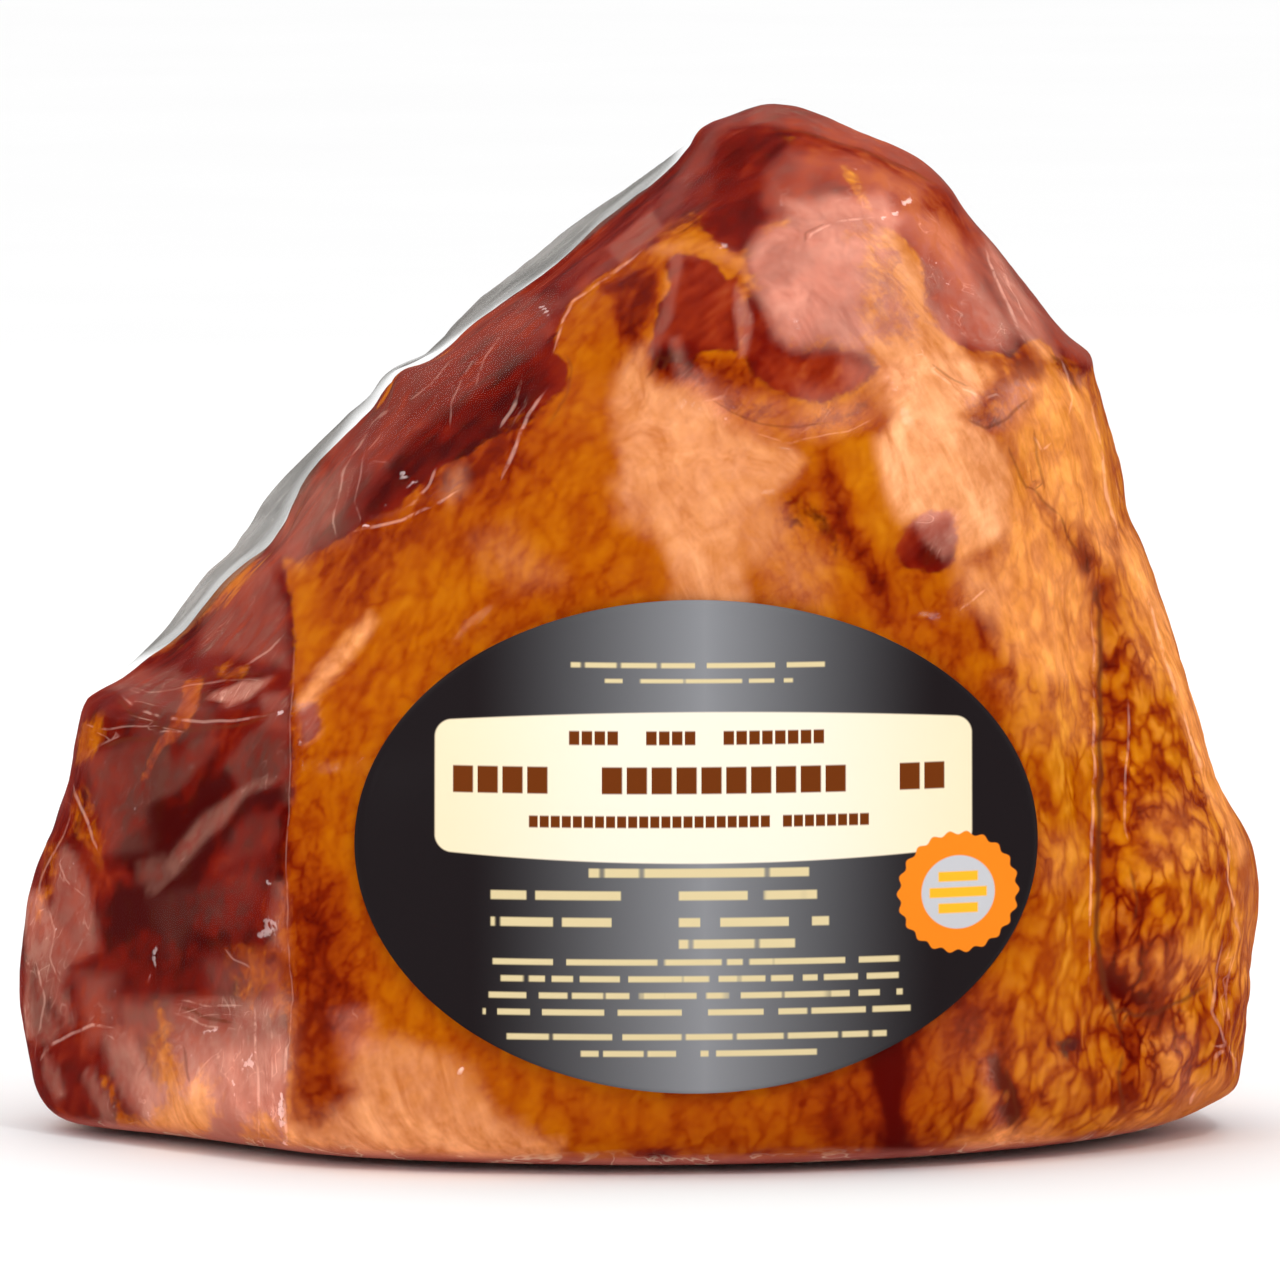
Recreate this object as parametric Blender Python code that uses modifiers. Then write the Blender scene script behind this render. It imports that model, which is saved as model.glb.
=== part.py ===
"""A boneless half ham in its clear vacuum bag, standing on its cut face, with an oval label on the front.

Metres, +Z up. The front, which carries the label, faces -Y. The origin is on the flat cut face,
under the middle of the ham's box.
"""

import math

import bmesh
import bpy
import numpy as np
from mathutils import Vector, noise

# Driving dimensions of the bagged ham
WIDTH = 0.205
DEPTH = 0.138
HEIGHT = 0.1690

# Outlines as (share of HEIGHT, share of half the WIDTH or half the DEPTH), from the cut face to the tip
LEFT_OUTLINE = (
    (0.000, -0.970), (0.070, -0.988), (0.153, -1.000), (0.240, -0.981), (0.329, -0.931), (0.387, -0.909),
    (0.423, -0.863), (0.469, -0.746), (0.560, -0.610), (0.675, -0.468), (0.763, -0.307), (0.851, -0.119),
    (0.921, 0.024), (0.968, 0.109), (1.000, 0.201),
)
RIGHT_OUTLINE = (
    (0.000, 0.972), (0.070, 0.972), (0.176, 0.987), (0.240, 0.999), (0.276, 0.981), (0.329, 0.935),
    (0.444, 0.877), (0.560, 0.810), (0.646, 0.768), (0.734, 0.730), (0.775, 0.683), (0.851, 0.579),
    (0.910, 0.505), (0.945, 0.444), (0.974, 0.341), (1.000, 0.201),
)
FRONT_OUTLINE = (
    (0.000, -0.970), (0.120, -1.000), (0.300, -0.985), (0.500, -0.900), (0.650, -0.790), (0.780, -0.640),
    (0.880, -0.470), (0.955, -0.270), (1.000, 0.040),
)
BACK_OUTLINE = (
    (0.000, 0.970), (0.120, 1.000), (0.300, 0.970), (0.500, 0.880), (0.650, 0.760), (0.780, 0.610),
    (0.880, 0.450), (0.955, 0.280), (1.000, 0.040),
)
SECTION_POWER = 1.95
# The foot's edge is rounded more at the sides, the right one above all, than at the front and back
FOOT_RADIUS = 0.006
LEFT_FOOT_RADIUS = 0.007
RIGHT_FOOT_RADIUS = 0.015

# The flat that the bag presses on the front left, as its outward direction and its distance from the origin
PRESSED_FLAT_NORMAL = (-0.739, -0.672, 0.035)
PRESSED_FLAT_DISTANCE = 0.0790
PRESSED_FLAT_SOFTNESS = 0.0012
# Turns that face away from the flat more than this are out of its reach
PRESSED_FLAT_FACING = 0.2

# The bag's pinched edge along the upper left: each stretch as (lowest, highest share of HEIGHT, reach)
PINCHED_EDGE_STRETCHES = ((0.415, 0.728, 0.0060), (0.738, 0.955, 0.0052))
PINCHED_EDGE_Y = 0.004
PINCHED_EDGE_HALF_WIDTH = 0.009
PINCHED_EDGE_FULLNESS = 0.8

# Swellings of the meat on the front and the back: side, x, z, radius across, radius up, height
SWELLINGS = (
    ("front", 0.021, 0.1370, 0.018, 0.0140, 0.0050),
    ("front", 0.052, 0.1125, 0.014, 0.0150, 0.0042),
    ("front", -0.012, 0.1045, 0.024, 0.0200, 0.0018),
    ("front", 0.088, 0.0620, 0.010, 0.0240, 0.0030),
    ("front", 0.090, 0.0225, 0.010, 0.0100, 0.0026),
    ("front", -0.083, 0.0400, 0.013, 0.0220, 0.0022),
    ("front", 0.0465, 0.0995, 0.006, 0.0055, -0.0026),
    ("back", 0.020, 0.1300, 0.026, 0.0200, 0.0045),
    ("back", -0.046, 0.0720, 0.030, 0.0300, 0.0040),
    ("back", 0.048, 0.0520, 0.034, 0.0280, 0.0035),
)

# Seams between the muscles: side, half width, depth, then the line's (x, z) points
SEAMS = (
    ("front", 0.0045, 0.0030, ((-0.008, 0.1325), (-0.004, 0.125), (0.004, 0.120), (0.017, 0.117),
                               (0.030, 0.118), (0.040, 0.124))),
    ("front", 0.0065, 0.0030, ((0.033, 0.1175), (0.032, 0.1055), (0.037, 0.0945), (0.047, 0.0845))),
    ("front", 0.0038, 0.0042, ((0.0713, 0.095), (0.0738, 0.0845), (0.0743, 0.0655), (0.0738, 0.0485),
                               (0.0733, 0.0335), (0.0753, 0.0235), (0.079, 0.0115))),
    ("front", 0.0034, 0.0030, ((0.0753, 0.0245), (0.082, 0.0215), (0.089, 0.025), (0.095, 0.030))),
    ("back", 0.0060, 0.0040, ((-0.010, 0.150), (-0.012, 0.118), (0.004, 0.084), (-0.004, 0.040),
                              (0.006, 0.010))),
    ("back", 0.0050, 0.0030, ((0.006, 0.080), (0.034, 0.086), (0.062, 0.100))),
)

# Straight folds of tight film that stand up from the surface, given as the seams are
FILM_FOLDS = (
    ("front", 0.0060, 0.0016, ((-0.0585, 0.004), (-0.0580, 0.050), (-0.0585, 0.090), (-0.0610, 0.104))),
)

# A slight unevenness all over, its height in metres and its waves in a metre
UNEVENNESS = 0.0011
UNEVENNESS_SCALE = 26.0

# The spans over which all of this fades in: from the two sides, the foot, the tip and the label's edge
# in metres or shares of the label's size, and from each end of a line as a share of its length
SIDE_FADE = (0.0, 0.012)
FOOT_FADE = (0.002, 0.014)
TIP_FADE = (0.0, 0.010)
LABEL_FADE = (1.0, 1.14)
LINE_END_FADE = (0.0, 0.12)

# The label: a thin oval, its middle and half sizes as seen from the front
LABEL_MIDDLE_X = 0.0092
LABEL_MIDDLE_Z = 0.0530
LABEL_HALF_WIDTH = 0.0548
LABEL_HALF_HEIGHT = 0.0392
LABEL_THICKNESS = 0.0004
LABEL_GAP = 0.0005
LABEL_RINGS = 7
LABEL_SECTORS = 44

# How finely the ham is divided, and how much closer the columns stand on the front and at the pinched
# edge, over how wide a turn
RINGS = 44
FOOT_RINGS = 7
COLUMNS = 86
FRONT_CROWDING = 0.75
FRONT_CROWDING_TURN = 1.3
EDGE_CROWDING = 2.2
EDGE_CROWDING_TURN = 0.10
FINE_TURNS = 4000
SHARP_ANGLE = math.radians(40)


def clear_scene():
    for thing in list(bpy.data.objects):
        bpy.data.objects.remove(thing)


def material(name, colour, roughness, metallic=0.0):
    made = bpy.data.materials.new(name)
    made.use_nodes = True
    shader = made.node_tree.nodes["Principled BSDF"]
    shader.inputs["Base Color"].default_value = (*colour, 1.0)
    shader.inputs["Roughness"].default_value = roughness
    shader.inputs["Metallic"].default_value = metallic
    made.diffuse_color = (*colour, 1.0)
    return made


def fade_in(value, span):
    """Rises smoothly from 0 to 1 while the value crosses the span."""
    share = np.clip((value - span[0]) / (span[1] - span[0]), 0, 1)
    return share * share * (3 - 2 * share)


def climb(share_of_height):
    """Turns a share of the height into an even step along the outline, finer towards the round tip."""
    return np.arcsin(np.clip(share_of_height, 0.0, 1.0)) * 2 / math.pi


def smooth_line(points, at):
    """A smooth curve through (place, value) points that never swings past them."""
    place = climb(np.array([p[0] for p in points]))
    value = np.array([p[1] for p in points])
    step = np.diff(place)
    slope = np.diff(value) / step
    tangent = np.zeros(len(place))
    tangent[0], tangent[-1] = slope[0], slope[-1]
    same_way = slope[:-1] * slope[1:] > 0
    mean = 2 * slope[:-1] * slope[1:] / np.where(same_way, slope[:-1] + slope[1:], 1.0)
    tangent[1:-1] = np.where(same_way, mean, 0.0)
    i = np.clip(np.searchsorted(place, at) - 1, 0, len(step) - 1)
    t = (at - place[i]) / step[i]
    rise = value[i] * (2 * t**3 - 3 * t**2 + 1) + value[i + 1] * (3 * t**2 - 2 * t**3)
    return rise + step[i] * (tangent[i] * (t**3 - 2 * t**2 + t) + tangent[i + 1] * (t**3 - t**2))


def ring_heights():
    """Heights of the rings: close together round the foot's edge, then evenly along the outline."""
    foot_turn = np.linspace(0, math.pi / 2, FOOT_RINGS, endpoint=False)
    foot = RIGHT_FOOT_RADIUS * (1 - np.cos(foot_turn))
    steps = np.linspace(climb(RIGHT_FOOT_RADIUS / HEIGHT), 1, RINGS + 1)[:-1]
    return np.concatenate([foot, HEIGHT * np.sin(steps * math.pi / 2)])


def column_turns():
    """Angles of the columns round the ham, closer on the front and along the pinched edge."""
    fine = np.linspace(0, 2 * math.pi, FINE_TURNS, endpoint=False)
    from_front = np.abs((fine - 1.5 * math.pi + math.pi) % (2 * math.pi) - math.pi)
    from_left = np.abs(fine - math.pi)
    density = 1 + FRONT_CROWDING * np.exp(-((from_front / FRONT_CROWDING_TURN) ** 4))
    density += EDGE_CROWDING * np.exp(-((from_left / EDGE_CROWDING_TURN) ** 2))
    total = np.cumsum(density)
    return np.interp(np.arange(COLUMNS) / COLUMNS, (total - total[0]) / total[-1], fine)


def soft_least(a, b, softness):
    """The lesser of two distances, with the corner between them rounded off."""
    return -softness * np.logaddexp(-a / softness, -b / softness)


def plain_form(z, turn):
    """Points on the ham without its swellings: an oval at each height, cut by the pressed flat."""
    at = climb(z / HEIGHT)
    left = smooth_line(LEFT_OUTLINE, at) * WIDTH / 2
    right = smooth_line(RIGHT_OUTLINE, at) * WIDTH / 2
    front = smooth_line(FRONT_OUTLINE, at) * DEPTH / 2
    back = smooth_line(BACK_OUTLINE, at) * DEPTH / 2
    side_radius = np.where(np.cos(turn) < 0, LEFT_FOOT_RADIUS, RIGHT_FOOT_RADIUS)
    foot_radius = FOOT_RADIUS + (side_radius - FOOT_RADIUS) * np.cos(turn) ** 2
    foot = 1 - np.clip(z / foot_radius, 0, 1)
    inset = foot_radius * (1 - np.sqrt(1 - foot**2))
    middle_x = (left + right) / 2
    middle_y = np.full_like(z, FRONT_OUTLINE[-1][1] * DEPTH / 2)
    half_x = (right - left) / 2 - inset
    half_y = np.where(np.sin(turn) < 0, middle_y - front, back - middle_y) - inset
    # The oval's radius along each turn, then the pressed flat's
    across, along = np.cos(turn), np.sin(turn)
    reach = np.abs(across / half_x) ** SECTION_POWER + np.abs(along / half_y) ** SECTION_POWER
    radius = reach ** (-1 / SECTION_POWER)
    nx, ny, nz = PRESSED_FLAT_NORMAL
    towards_flat = nx * across + ny * along
    to_flat = PRESSED_FLAT_DISTANCE - nx * middle_x - ny * middle_y - nz * z - inset
    faces_it = towards_flat > PRESSED_FLAT_FACING
    flat_radius = np.where(faces_it, to_flat / np.maximum(towards_flat, PRESSED_FLAT_FACING), 1.0)
    radius = soft_least(radius, flat_radius, PRESSED_FLAT_SOFTNESS)
    return middle_x + radius * across, middle_y + radius * along


def pinched_edge_reach(z):
    share = z / HEIGHT
    reach = np.zeros_like(z)
    for low, high, most in PINCHED_EDGE_STRETCHES:
        way = np.clip((share - low) / (high - low), 0, 1)
        reach += most * np.sin(math.pi * way) ** PINCHED_EDGE_FULLNESS
    return reach


def distance_to_line(x, z, points):
    """Distance from each (x, z) to a broken line, and how far along it is, from 0 to 1."""
    nearest = np.full_like(x, np.inf)
    along = np.zeros_like(x)
    for k in range(len(points) - 1):
        (x0, z0), (x1, z1) = points[k], points[k + 1]
        dx, dz = x1 - x0, z1 - z0
        t = np.clip(((x - x0) * dx + (z - z0) * dz) / (dx * dx + dz * dz), 0, 1)
        distance = np.hypot(x - x0 - t * dx, z - z0 - t * dz)
        along = np.where(distance < nearest, (k + t) / (len(points) - 1), along)
        nearest = np.minimum(nearest, distance)
    return nearest, along


def line_relief(x, z, half_width, height, points):
    """A ridge along a line, which fades out at the line's two ends."""
    distance, along = distance_to_line(x, z, points)
    fade = fade_in(np.minimum(along, 1 - along), LINE_END_FADE)
    return height * np.exp(-((distance / half_width) ** 2)) * fade


def relief(x, y, z):
    """How far each point of the plain form stands out, along its normal."""
    sides = {"front": fade_in(-y, SIDE_FADE), "back": fade_in(y, SIDE_FADE)}
    total = np.zeros_like(x)
    for side, cx, cz, across, up, height in SWELLINGS:
        fall = np.exp(-(((x - cx) / across) ** 2 + ((z - cz) / up) ** 2))
        total += height * fall * sides[side]
    for side, half_width, depth, points in SEAMS:
        total -= line_relief(x, z, half_width, depth, points) * sides[side]
    for side, half_width, height, points in FILM_FOLDS:
        total += line_relief(x, z, half_width, height, points) * sides[side]
    for row in np.ndindex(x.shape):
        place = Vector((x[row], y[row], z[row])) * UNEVENNESS_SCALE
        total[row] += UNEVENNESS * noise.noise(place)
    # The foot, the tip and the place of the label stay plain
    from_label = np.hypot((x - LABEL_MIDDLE_X) / LABEL_HALF_WIDTH, (z - LABEL_MIDDLE_Z) / LABEL_HALF_HEIGHT)
    total *= np.where(y < 0, fade_in(from_label, LABEL_FADE), 1.0)
    return total * fade_in(z, FOOT_FADE) * fade_in(HEIGHT - z, TIP_FADE)


def outward(points):
    """Normals of a grid of points that is closed round its columns."""
    round_way = np.roll(points, -1, axis=1) - np.roll(points, 1, axis=1)
    up_way = np.gradient(points, axis=0)
    normal = np.cross(round_way, up_way)
    return normal / np.maximum(np.linalg.norm(normal, axis=2, keepdims=True), 1e-12)


def ham_surface():
    """The grid of points, ring by ring from the foot to just under the tip."""
    z, turn = np.meshgrid(ring_heights(), column_turns(), indexing="ij")
    x, y = plain_form(z, turn)
    points = np.stack([x, y, z], axis=2)
    points += outward(points) * relief(x, y, z)[..., None]
    # The bag's two walls meet in a thin edge that stands out to the left
    from_edge = np.clip(1 - np.abs(points[..., 1] - PINCHED_EDGE_Y) / PINCHED_EDGE_HALF_WIDTH, 0, 1)
    on_left = points[..., 0] < (points[..., 0].min(axis=1) + points[..., 0].max(axis=1))[:, None] / 2
    points[..., 0] -= pinched_edge_reach(z) * from_edge**2 * on_left
    points[0, :, 2] = 0.0
    return points


def build_ham(collection):
    """The ham and the bag that clings to it, as one closed solid lofted through unlike ovals."""
    rings = ham_surface()
    low, high = rings.min(axis=(0, 1)), rings.max(axis=(0, 1))
    low[1] -= LABEL_GAP + LABEL_THICKNESS
    middle = Vector(((low[0] + high[0]) / 2, (low[1] + high[1]) / 2, 0.0))
    mesh = bmesh.new()
    rows = [[mesh.verts.new(Vector(p) - middle) for p in ring] for ring in rings]
    for lower, upper in zip(rows, rows[1:]):
        for k in range(COLUMNS):
            after = (k + 1) % COLUMNS
            mesh.faces.new((lower[k], lower[after], upper[after], upper[k]))
    tip = mesh.verts.new(Vector((rings[-1, :, 0].mean(), rings[-1, :, 1].mean(), HEIGHT)) - middle)
    for k in range(COLUMNS):
        mesh.faces.new((rows[-1][k], rows[-1][(k + 1) % COLUMNS], tip))
    mesh.faces.new(list(reversed(rows[0])))
    bmesh.ops.recalc_face_normals(mesh, faces=mesh.faces)
    data = bpy.data.meshes.new("ham_in_bag")
    mesh.to_mesh(data)
    mesh.free()
    data.shade_smooth()
    data.set_sharp_from_angle(angle=SHARP_ANGLE)
    data.materials.append(material("bagged_ham", (0.47, 0.13, 0.02), 0.25))
    ham = bpy.data.objects.new("ham_in_bag", data)
    collection.objects.link(ham)
    return ham


def build_label(collection, ham):
    """The oval label: a flat disc thrown onto the front of the bag, then given its thickness."""
    mesh = bmesh.new()
    centre = mesh.verts.new((0, 0, 0))
    rows = []
    for ring in range(1, LABEL_RINGS + 1):
        share = ring / LABEL_RINGS
        turns = [2 * math.pi * k / LABEL_SECTORS for k in range(LABEL_SECTORS)]
        rows.append([mesh.verts.new((LABEL_HALF_WIDTH * share * math.cos(t), 0,
                                     LABEL_HALF_HEIGHT * share * math.sin(t))) for t in turns])
    for k in range(LABEL_SECTORS):
        after = (k + 1) % LABEL_SECTORS
        mesh.faces.new((centre, rows[0][k], rows[0][after]))
        for inner, outer in zip(rows, rows[1:]):
            mesh.faces.new((inner[k], outer[k], outer[after], inner[after]))
    data = bpy.data.meshes.new("label")
    mesh.to_mesh(data)
    mesh.free()
    data.shade_smooth()
    data.materials.append(material("label_paper", (0.05, 0.045, 0.05), 0.35))
    label = bpy.data.objects.new("label", data)
    label.location = (LABEL_MIDDLE_X, -DEPTH, LABEL_MIDDLE_Z)
    collection.objects.link(label)
    onto = label.modifiers.new("onto the bag", "SHRINKWRAP")
    onto.target = ham
    onto.wrap_method = "PROJECT"
    onto.use_project_y = True
    onto.use_positive_direction = True
    onto.use_negative_direction = False
    onto.offset = LABEL_GAP
    body = label.modifiers.new("thickness", "SOLIDIFY")
    body.thickness = LABEL_THICKNESS
    body.offset = 1.0
    return label


def main():
    clear_scene()
    collection = bpy.data.collections.new("bagged_half_ham")
    bpy.context.scene.collection.children.link(collection)
    ham = build_ham(collection)
    build_label(collection, ham)


main()
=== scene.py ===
"""Looks of the bagged half ham: the smoked meat, the tight clear bag round it and the oval label.

Metres, +Z up, the front faces -Y. Places on the front are given as pixels of the photo's 1280 frame and
thrown onto the surface by the photo's own camera. Everything else is in metres.
"""

import math
from types import SimpleNamespace

import bpy
import numpy as np
from mathutils import Euler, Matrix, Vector, noise
from mathutils.bvhtree import BVHTree


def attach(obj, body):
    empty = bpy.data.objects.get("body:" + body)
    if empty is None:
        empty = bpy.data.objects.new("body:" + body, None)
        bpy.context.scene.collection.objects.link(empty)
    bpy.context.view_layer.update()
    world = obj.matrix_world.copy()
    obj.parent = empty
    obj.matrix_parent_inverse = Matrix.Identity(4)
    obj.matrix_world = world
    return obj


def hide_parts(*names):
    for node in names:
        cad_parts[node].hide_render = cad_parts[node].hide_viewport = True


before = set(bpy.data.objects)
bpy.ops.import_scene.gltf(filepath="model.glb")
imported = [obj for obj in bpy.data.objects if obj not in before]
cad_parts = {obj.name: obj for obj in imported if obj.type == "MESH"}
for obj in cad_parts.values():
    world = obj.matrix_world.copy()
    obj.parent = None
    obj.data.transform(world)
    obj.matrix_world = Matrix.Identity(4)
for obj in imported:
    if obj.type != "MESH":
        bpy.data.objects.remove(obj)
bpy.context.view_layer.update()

# The photo's camera: a long lens, a little above the middle of the ham
PHOTO_SIZE = 1280
CAMERA_ELEVATION = math.radians(5.0)
CAMERA_DISTANCE = 2.5
CAMERA_AIM = np.array([0.00012, 0.0, 0.0805])
PIXEL = 0.0001637
SENSOR = 36.0

# The grid over the ham: rows from the middle of the foot to the tip, columns round it
GRID_CENTRE = Vector((0.006, 0.001, 0.062))
ROWS = 268
COLUMNS = 370
FOOT_ELEVATION = math.radians(-33)
FOOT_ROW_SHARE = 0.4
# Extra columns on the front and along the pinched edge, and how far round they reach, in radians
FRONT_EXTRA = 1.9
FRONT_REACH = 1.5
LEFT_EXTRA = 2.0
LEFT_REACH = 0.13
FACET_BLUR = 2.0

# The bag's pinched edge, as in the solid: (lowest, highest height, reach), all in metres
PINCHED_STRETCHES = ((0.0701, 0.1230, 0.0060), (0.1247, 0.1614, 0.0052))
PINCHED_LEAST = 0.0028
# Share of the pinched edge that the meat fills, by height
MEAT_IN_PINCH = (
    (0.07, 1.0), (0.0775, 0.8), (0.082, 0.15), (0.098, 0.15), (0.11, 0.55), (0.121, 0.8), (0.13, 0.35),
    (0.14, 0.1), (0.163, 0.3),
)
PINCHED_Y = 0.0036
PINCHED_HALF_WIDTH = 0.009
PINCHED_FULLNESS = 0.8

# Small corrections of the outline: photo place, reach, and shift right and down, in pixels
OUTLINE_TOUCHES = (
    (404, 372, 30, -13, -12), (256, 524, 40, 8, 8), (90, 704, 32, -10, -8), (706, 128, 28, -9, -9),
    (1086, 356, 22, 7, -5), (1130, 516, 30, -7, 0), (1232, 830, 50, 6, -2), (1238, 1090, 26, 9, 3),
    (24, 1010, 60, -5, 0), (968, 222, 40, -5, 3),
)
# The meat lies this far inside the solid, and the film this far outside it
MEAT_INSET = 0.0006
FILM_STANDS_OUT = 0.0001
# The label's middle and half sizes across and up, and how far its faces stand off the solid ham
LABEL_MIDDLE = (0.0092, 0.0530)
LABEL_HALF = (0.0548, 0.0392)
LABEL_PHOTO_HALF = (343.0, 249.0)
LABEL_FRONT = 0.0009
LABEL_BACK = 0.00045


# Fields over the points

def fade(value, low, high):
    """Rises smoothly from 0 to 1 while the value goes from low to high."""
    share = np.clip((value - low) / (high - low), 0, 1)
    return share * share * (3 - 2 * share)


def waves(points, size, shift=0.0, octaves=2):
    """Smooth noise of about -1 to 1 with waves of that size, in metres."""
    scale = 1.0 / size
    flat = points.reshape(-1, 3)
    out = np.empty(len(flat))
    for k, (x, y, z) in enumerate(flat.tolist()):
        place = Vector((x * scale + shift, y * scale - shift, z * scale + 2 * shift))
        out[k] = noise.fractal(place, 1.0, 2.0, octaves)
    return out.reshape(points.shape[:-1])


def photo_place(points):
    """Where the photo's camera sees each point, in pixels of its frame."""
    look = np.array([0, math.cos(CAMERA_ELEVATION), -math.sin(CAMERA_ELEVATION)])
    up = np.array([0, math.sin(CAMERA_ELEVATION), math.cos(CAMERA_ELEVATION)])
    from_camera = points - CAMERA_AIM + look * CAMERA_DISTANCE
    scale = CAMERA_DISTANCE / (from_camera @ look) / PIXEL
    return PHOTO_SIZE / 2 + from_camera[..., 0] * scale, PHOTO_SIZE / 2 - (from_camera @ up) * scale


def to_line(x, y, points):
    """Distance of each place from a broken line, and the share of the line's length at its nearest point."""
    nearest = np.full(x.shape, np.inf)
    along = np.zeros(x.shape)
    steps = len(points) - 1
    for k in range(steps):
        (x0, y0), (x1, y1) = points[k], points[k + 1]
        dx, dy = x1 - x0, y1 - y0
        t = np.clip(((x - x0) * dx + (y - y0) * dy) / (dx * dx + dy * dy + 1e-9), 0, 1)
        distance = np.hypot(x - x0 - t * dx, y - y0 - t * dy)
        along = np.where(distance < nearest, (k + t) / steps, along)
        nearest = np.minimum(nearest, distance)
    return nearest, along


def inside(x, y, points):
    """True for the places inside a closed outline."""
    odd = np.zeros(x.shape, bool)
    for (x0, y0), (x1, y1) in zip(points, points[1:] + points[:1]):
        if y0 == y1:
            continue
        crosses = (y0 > y) != (y1 > y)
        odd ^= crosses & (x < (x1 - x0) * (y - y0) / (y1 - y0) + x0)
    return odd


# How far a thin line reaches to its sides, in pixels
LINE_REACH = 12.0
# Share of a line over which its ends fade, on the meat and on the film, and softness of a spot's rim
FADING_END = 0.2
THIN_END = 0.12
SPOT_RIM = 0.5


class Canvas:
    """The points that the photo's camera sees, on which regions, lines and spots are laid."""

    def __init__(self, x, y, weight):
        self.x, self.y, self.weight = x, y, weight

    def near(self, points, margin):
        """True for the seen points within a margin of a region's or line's box."""
        xs, ys = [p[0] for p in points], [p[1] for p in points]
        across = (self.x > min(xs) - margin) & (self.x < max(xs) + margin)
        return across & (self.y > min(ys) - margin) & (self.y < max(ys) + margin) & (self.weight > 0)

    def region(self, points, soft):
        """1 inside a closed outline and 0 outside, over an edge of that softness in pixels."""
        mask = np.zeros(self.x.shape)
        near = self.near(points, soft)
        x, y = self.x[near], self.y[near]
        distance = to_line(x, y, points + points[:1])[0]
        mask[near] = fade(np.where(inside(x, y, points), distance, -distance), -soft, soft)
        return mask * self.weight

    def beside(self, points):
        """Signed distance from a line, as a share of the reach, and 1 near the line, thinning at its ends."""
        offset, strength = np.zeros(self.x.shape), np.zeros(self.x.shape)
        near = self.near(points, LINE_REACH)
        x, y = self.x[near], self.y[near]
        nearest, side = np.full(x.shape, np.inf), np.zeros(x.shape)
        for (x0, y0), (x1, y1) in zip(points, points[1:]):
            distance = to_line(x, y, [(x0, y0), (x1, y1)])[0]
            turn = (x1 - x0) * (y - y0) - (y1 - y0) * (x - x0)
            side = np.where(distance < nearest, np.sign(turn), side)
            nearest = np.minimum(nearest, distance)
        along = to_line(x, y, points)[1]
        offset[near] = side * np.minimum(nearest / LINE_REACH, 1)
        thin = fade(np.minimum(along, 1 - along), 0, FADING_END)
        strength[near] = fade(LINE_REACH - nearest, 0, 0.4 * LINE_REACH) * thin
        return offset, strength * self.weight

    def line(self, points, width):
        """A soft line of that half width, in pixels, which thins out at its ends."""
        mask = np.zeros(self.x.shape)
        near = self.near(points, 3 * width)
        distance, along = to_line(self.x[near], self.y[near], points)
        thin = fade(np.minimum(along, 1 - along), -0.02, THIN_END)
        mask[near] = np.exp(-((distance / width) ** 2)) * thin
        return mask * self.weight

    def spot(self, x, y, across, up, turn):
        """An oval spot, turned anticlockwise by that many degrees, with a soft rim."""
        turn = math.radians(turn)
        dx, dy = self.x - x, self.y - y
        along = dx * math.cos(turn) - dy * math.sin(turn)
        over = dx * math.sin(turn) + dy * math.cos(turn)
        return fade(1 + SPOT_RIM - np.hypot(along / across, over / up), 0, 2 * SPOT_RIM) * self.weight


def lay(layer, mask, amount):
    """Moves a layer towards an amount where the mask is."""
    layer += (amount - layer) * mask


# The grid over the ham

def blurred(grid, rows, columns):
    """Gaussian blur of a grid that is closed round its columns."""
    for axis, sigma in ((0, rows), (1, columns)):
        reach = int(math.ceil(3 * sigma))
        weights = [math.exp(-0.5 * (k / sigma) ** 2) for k in range(-reach, reach + 1)]
        total = np.zeros_like(grid)
        for k, weight in zip(range(-reach, reach + 1), weights):
            if axis:
                total += weight * np.roll(grid, k, axis=1)
            else:
                total += weight * grid[np.clip(np.arange(len(grid)) + k, 0, len(grid) - 1)]
        grid = total / sum(weights)
    return grid


def spread(low, high, count, density, closed=False):
    """Values from low to high, closer together where the density is higher."""
    fine = np.linspace(low, high, 6000)
    total = np.cumsum(density(fine))
    total = (total - total[0]) / (total[-1] - total[0])
    return np.interp(np.arange(count) / (count if closed else count - 1), total, fine)


def row_density(elevation):
    """Fewer rows over the flat foot."""
    return np.where(elevation < FOOT_ELEVATION, FOOT_ROW_SHARE, 1.0)


def column_density(turn):
    """More columns on the front and along the pinched edge."""
    from_front = np.abs((turn + math.pi / 2 + math.pi) % (2 * math.pi) - math.pi)
    from_left = np.abs(turn % (2 * math.pi) - math.pi)
    front = FRONT_EXTRA * np.exp(-((from_front / FRONT_REACH) ** 6))
    return 1 + front + LEFT_EXTRA * np.exp(-((from_left / LEFT_REACH) ** 2))


def outward(points):
    """Normals of the grid, pointing out."""
    round_way = np.roll(points, -1, axis=1) - np.roll(points, 1, axis=1)
    normal = np.cross(round_way, np.gradient(points, axis=0))
    length = np.linalg.norm(normal, axis=2, keepdims=True)
    normal = normal / np.maximum(length, 1e-12)
    normal[0] = (0, 0, -1)
    normal[-1] = normal[-2].mean(axis=0)
    return normal


def pinched_reach(points):
    """How far the pinched edge stands out to the left at each point."""
    height = points[..., 2]
    reach = np.zeros(height.shape)
    for low, high, most in PINCHED_STRETCHES:
        way = np.clip((height - low) / (high - low), 0, 1)
        reach += most * np.sin(math.pi * way) ** PINCHED_FULLNESS
    low, high = PINCHED_STRETCHES[0][0], PINCHED_STRETCHES[-1][1]
    reach = np.maximum(reach, PINCHED_LEAST * fade(height, low, low + 0.01) * fade(high - height, 0, 0.01))
    near = np.clip(1 - np.abs(points[..., 1] - PINCHED_Y) / PINCHED_HALF_WIDTH, 0, 1)
    left = points[..., 0] < GRID_CENTRE.x + 0.06 * (height - 0.06)
    return reach * near**2 * left


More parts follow.
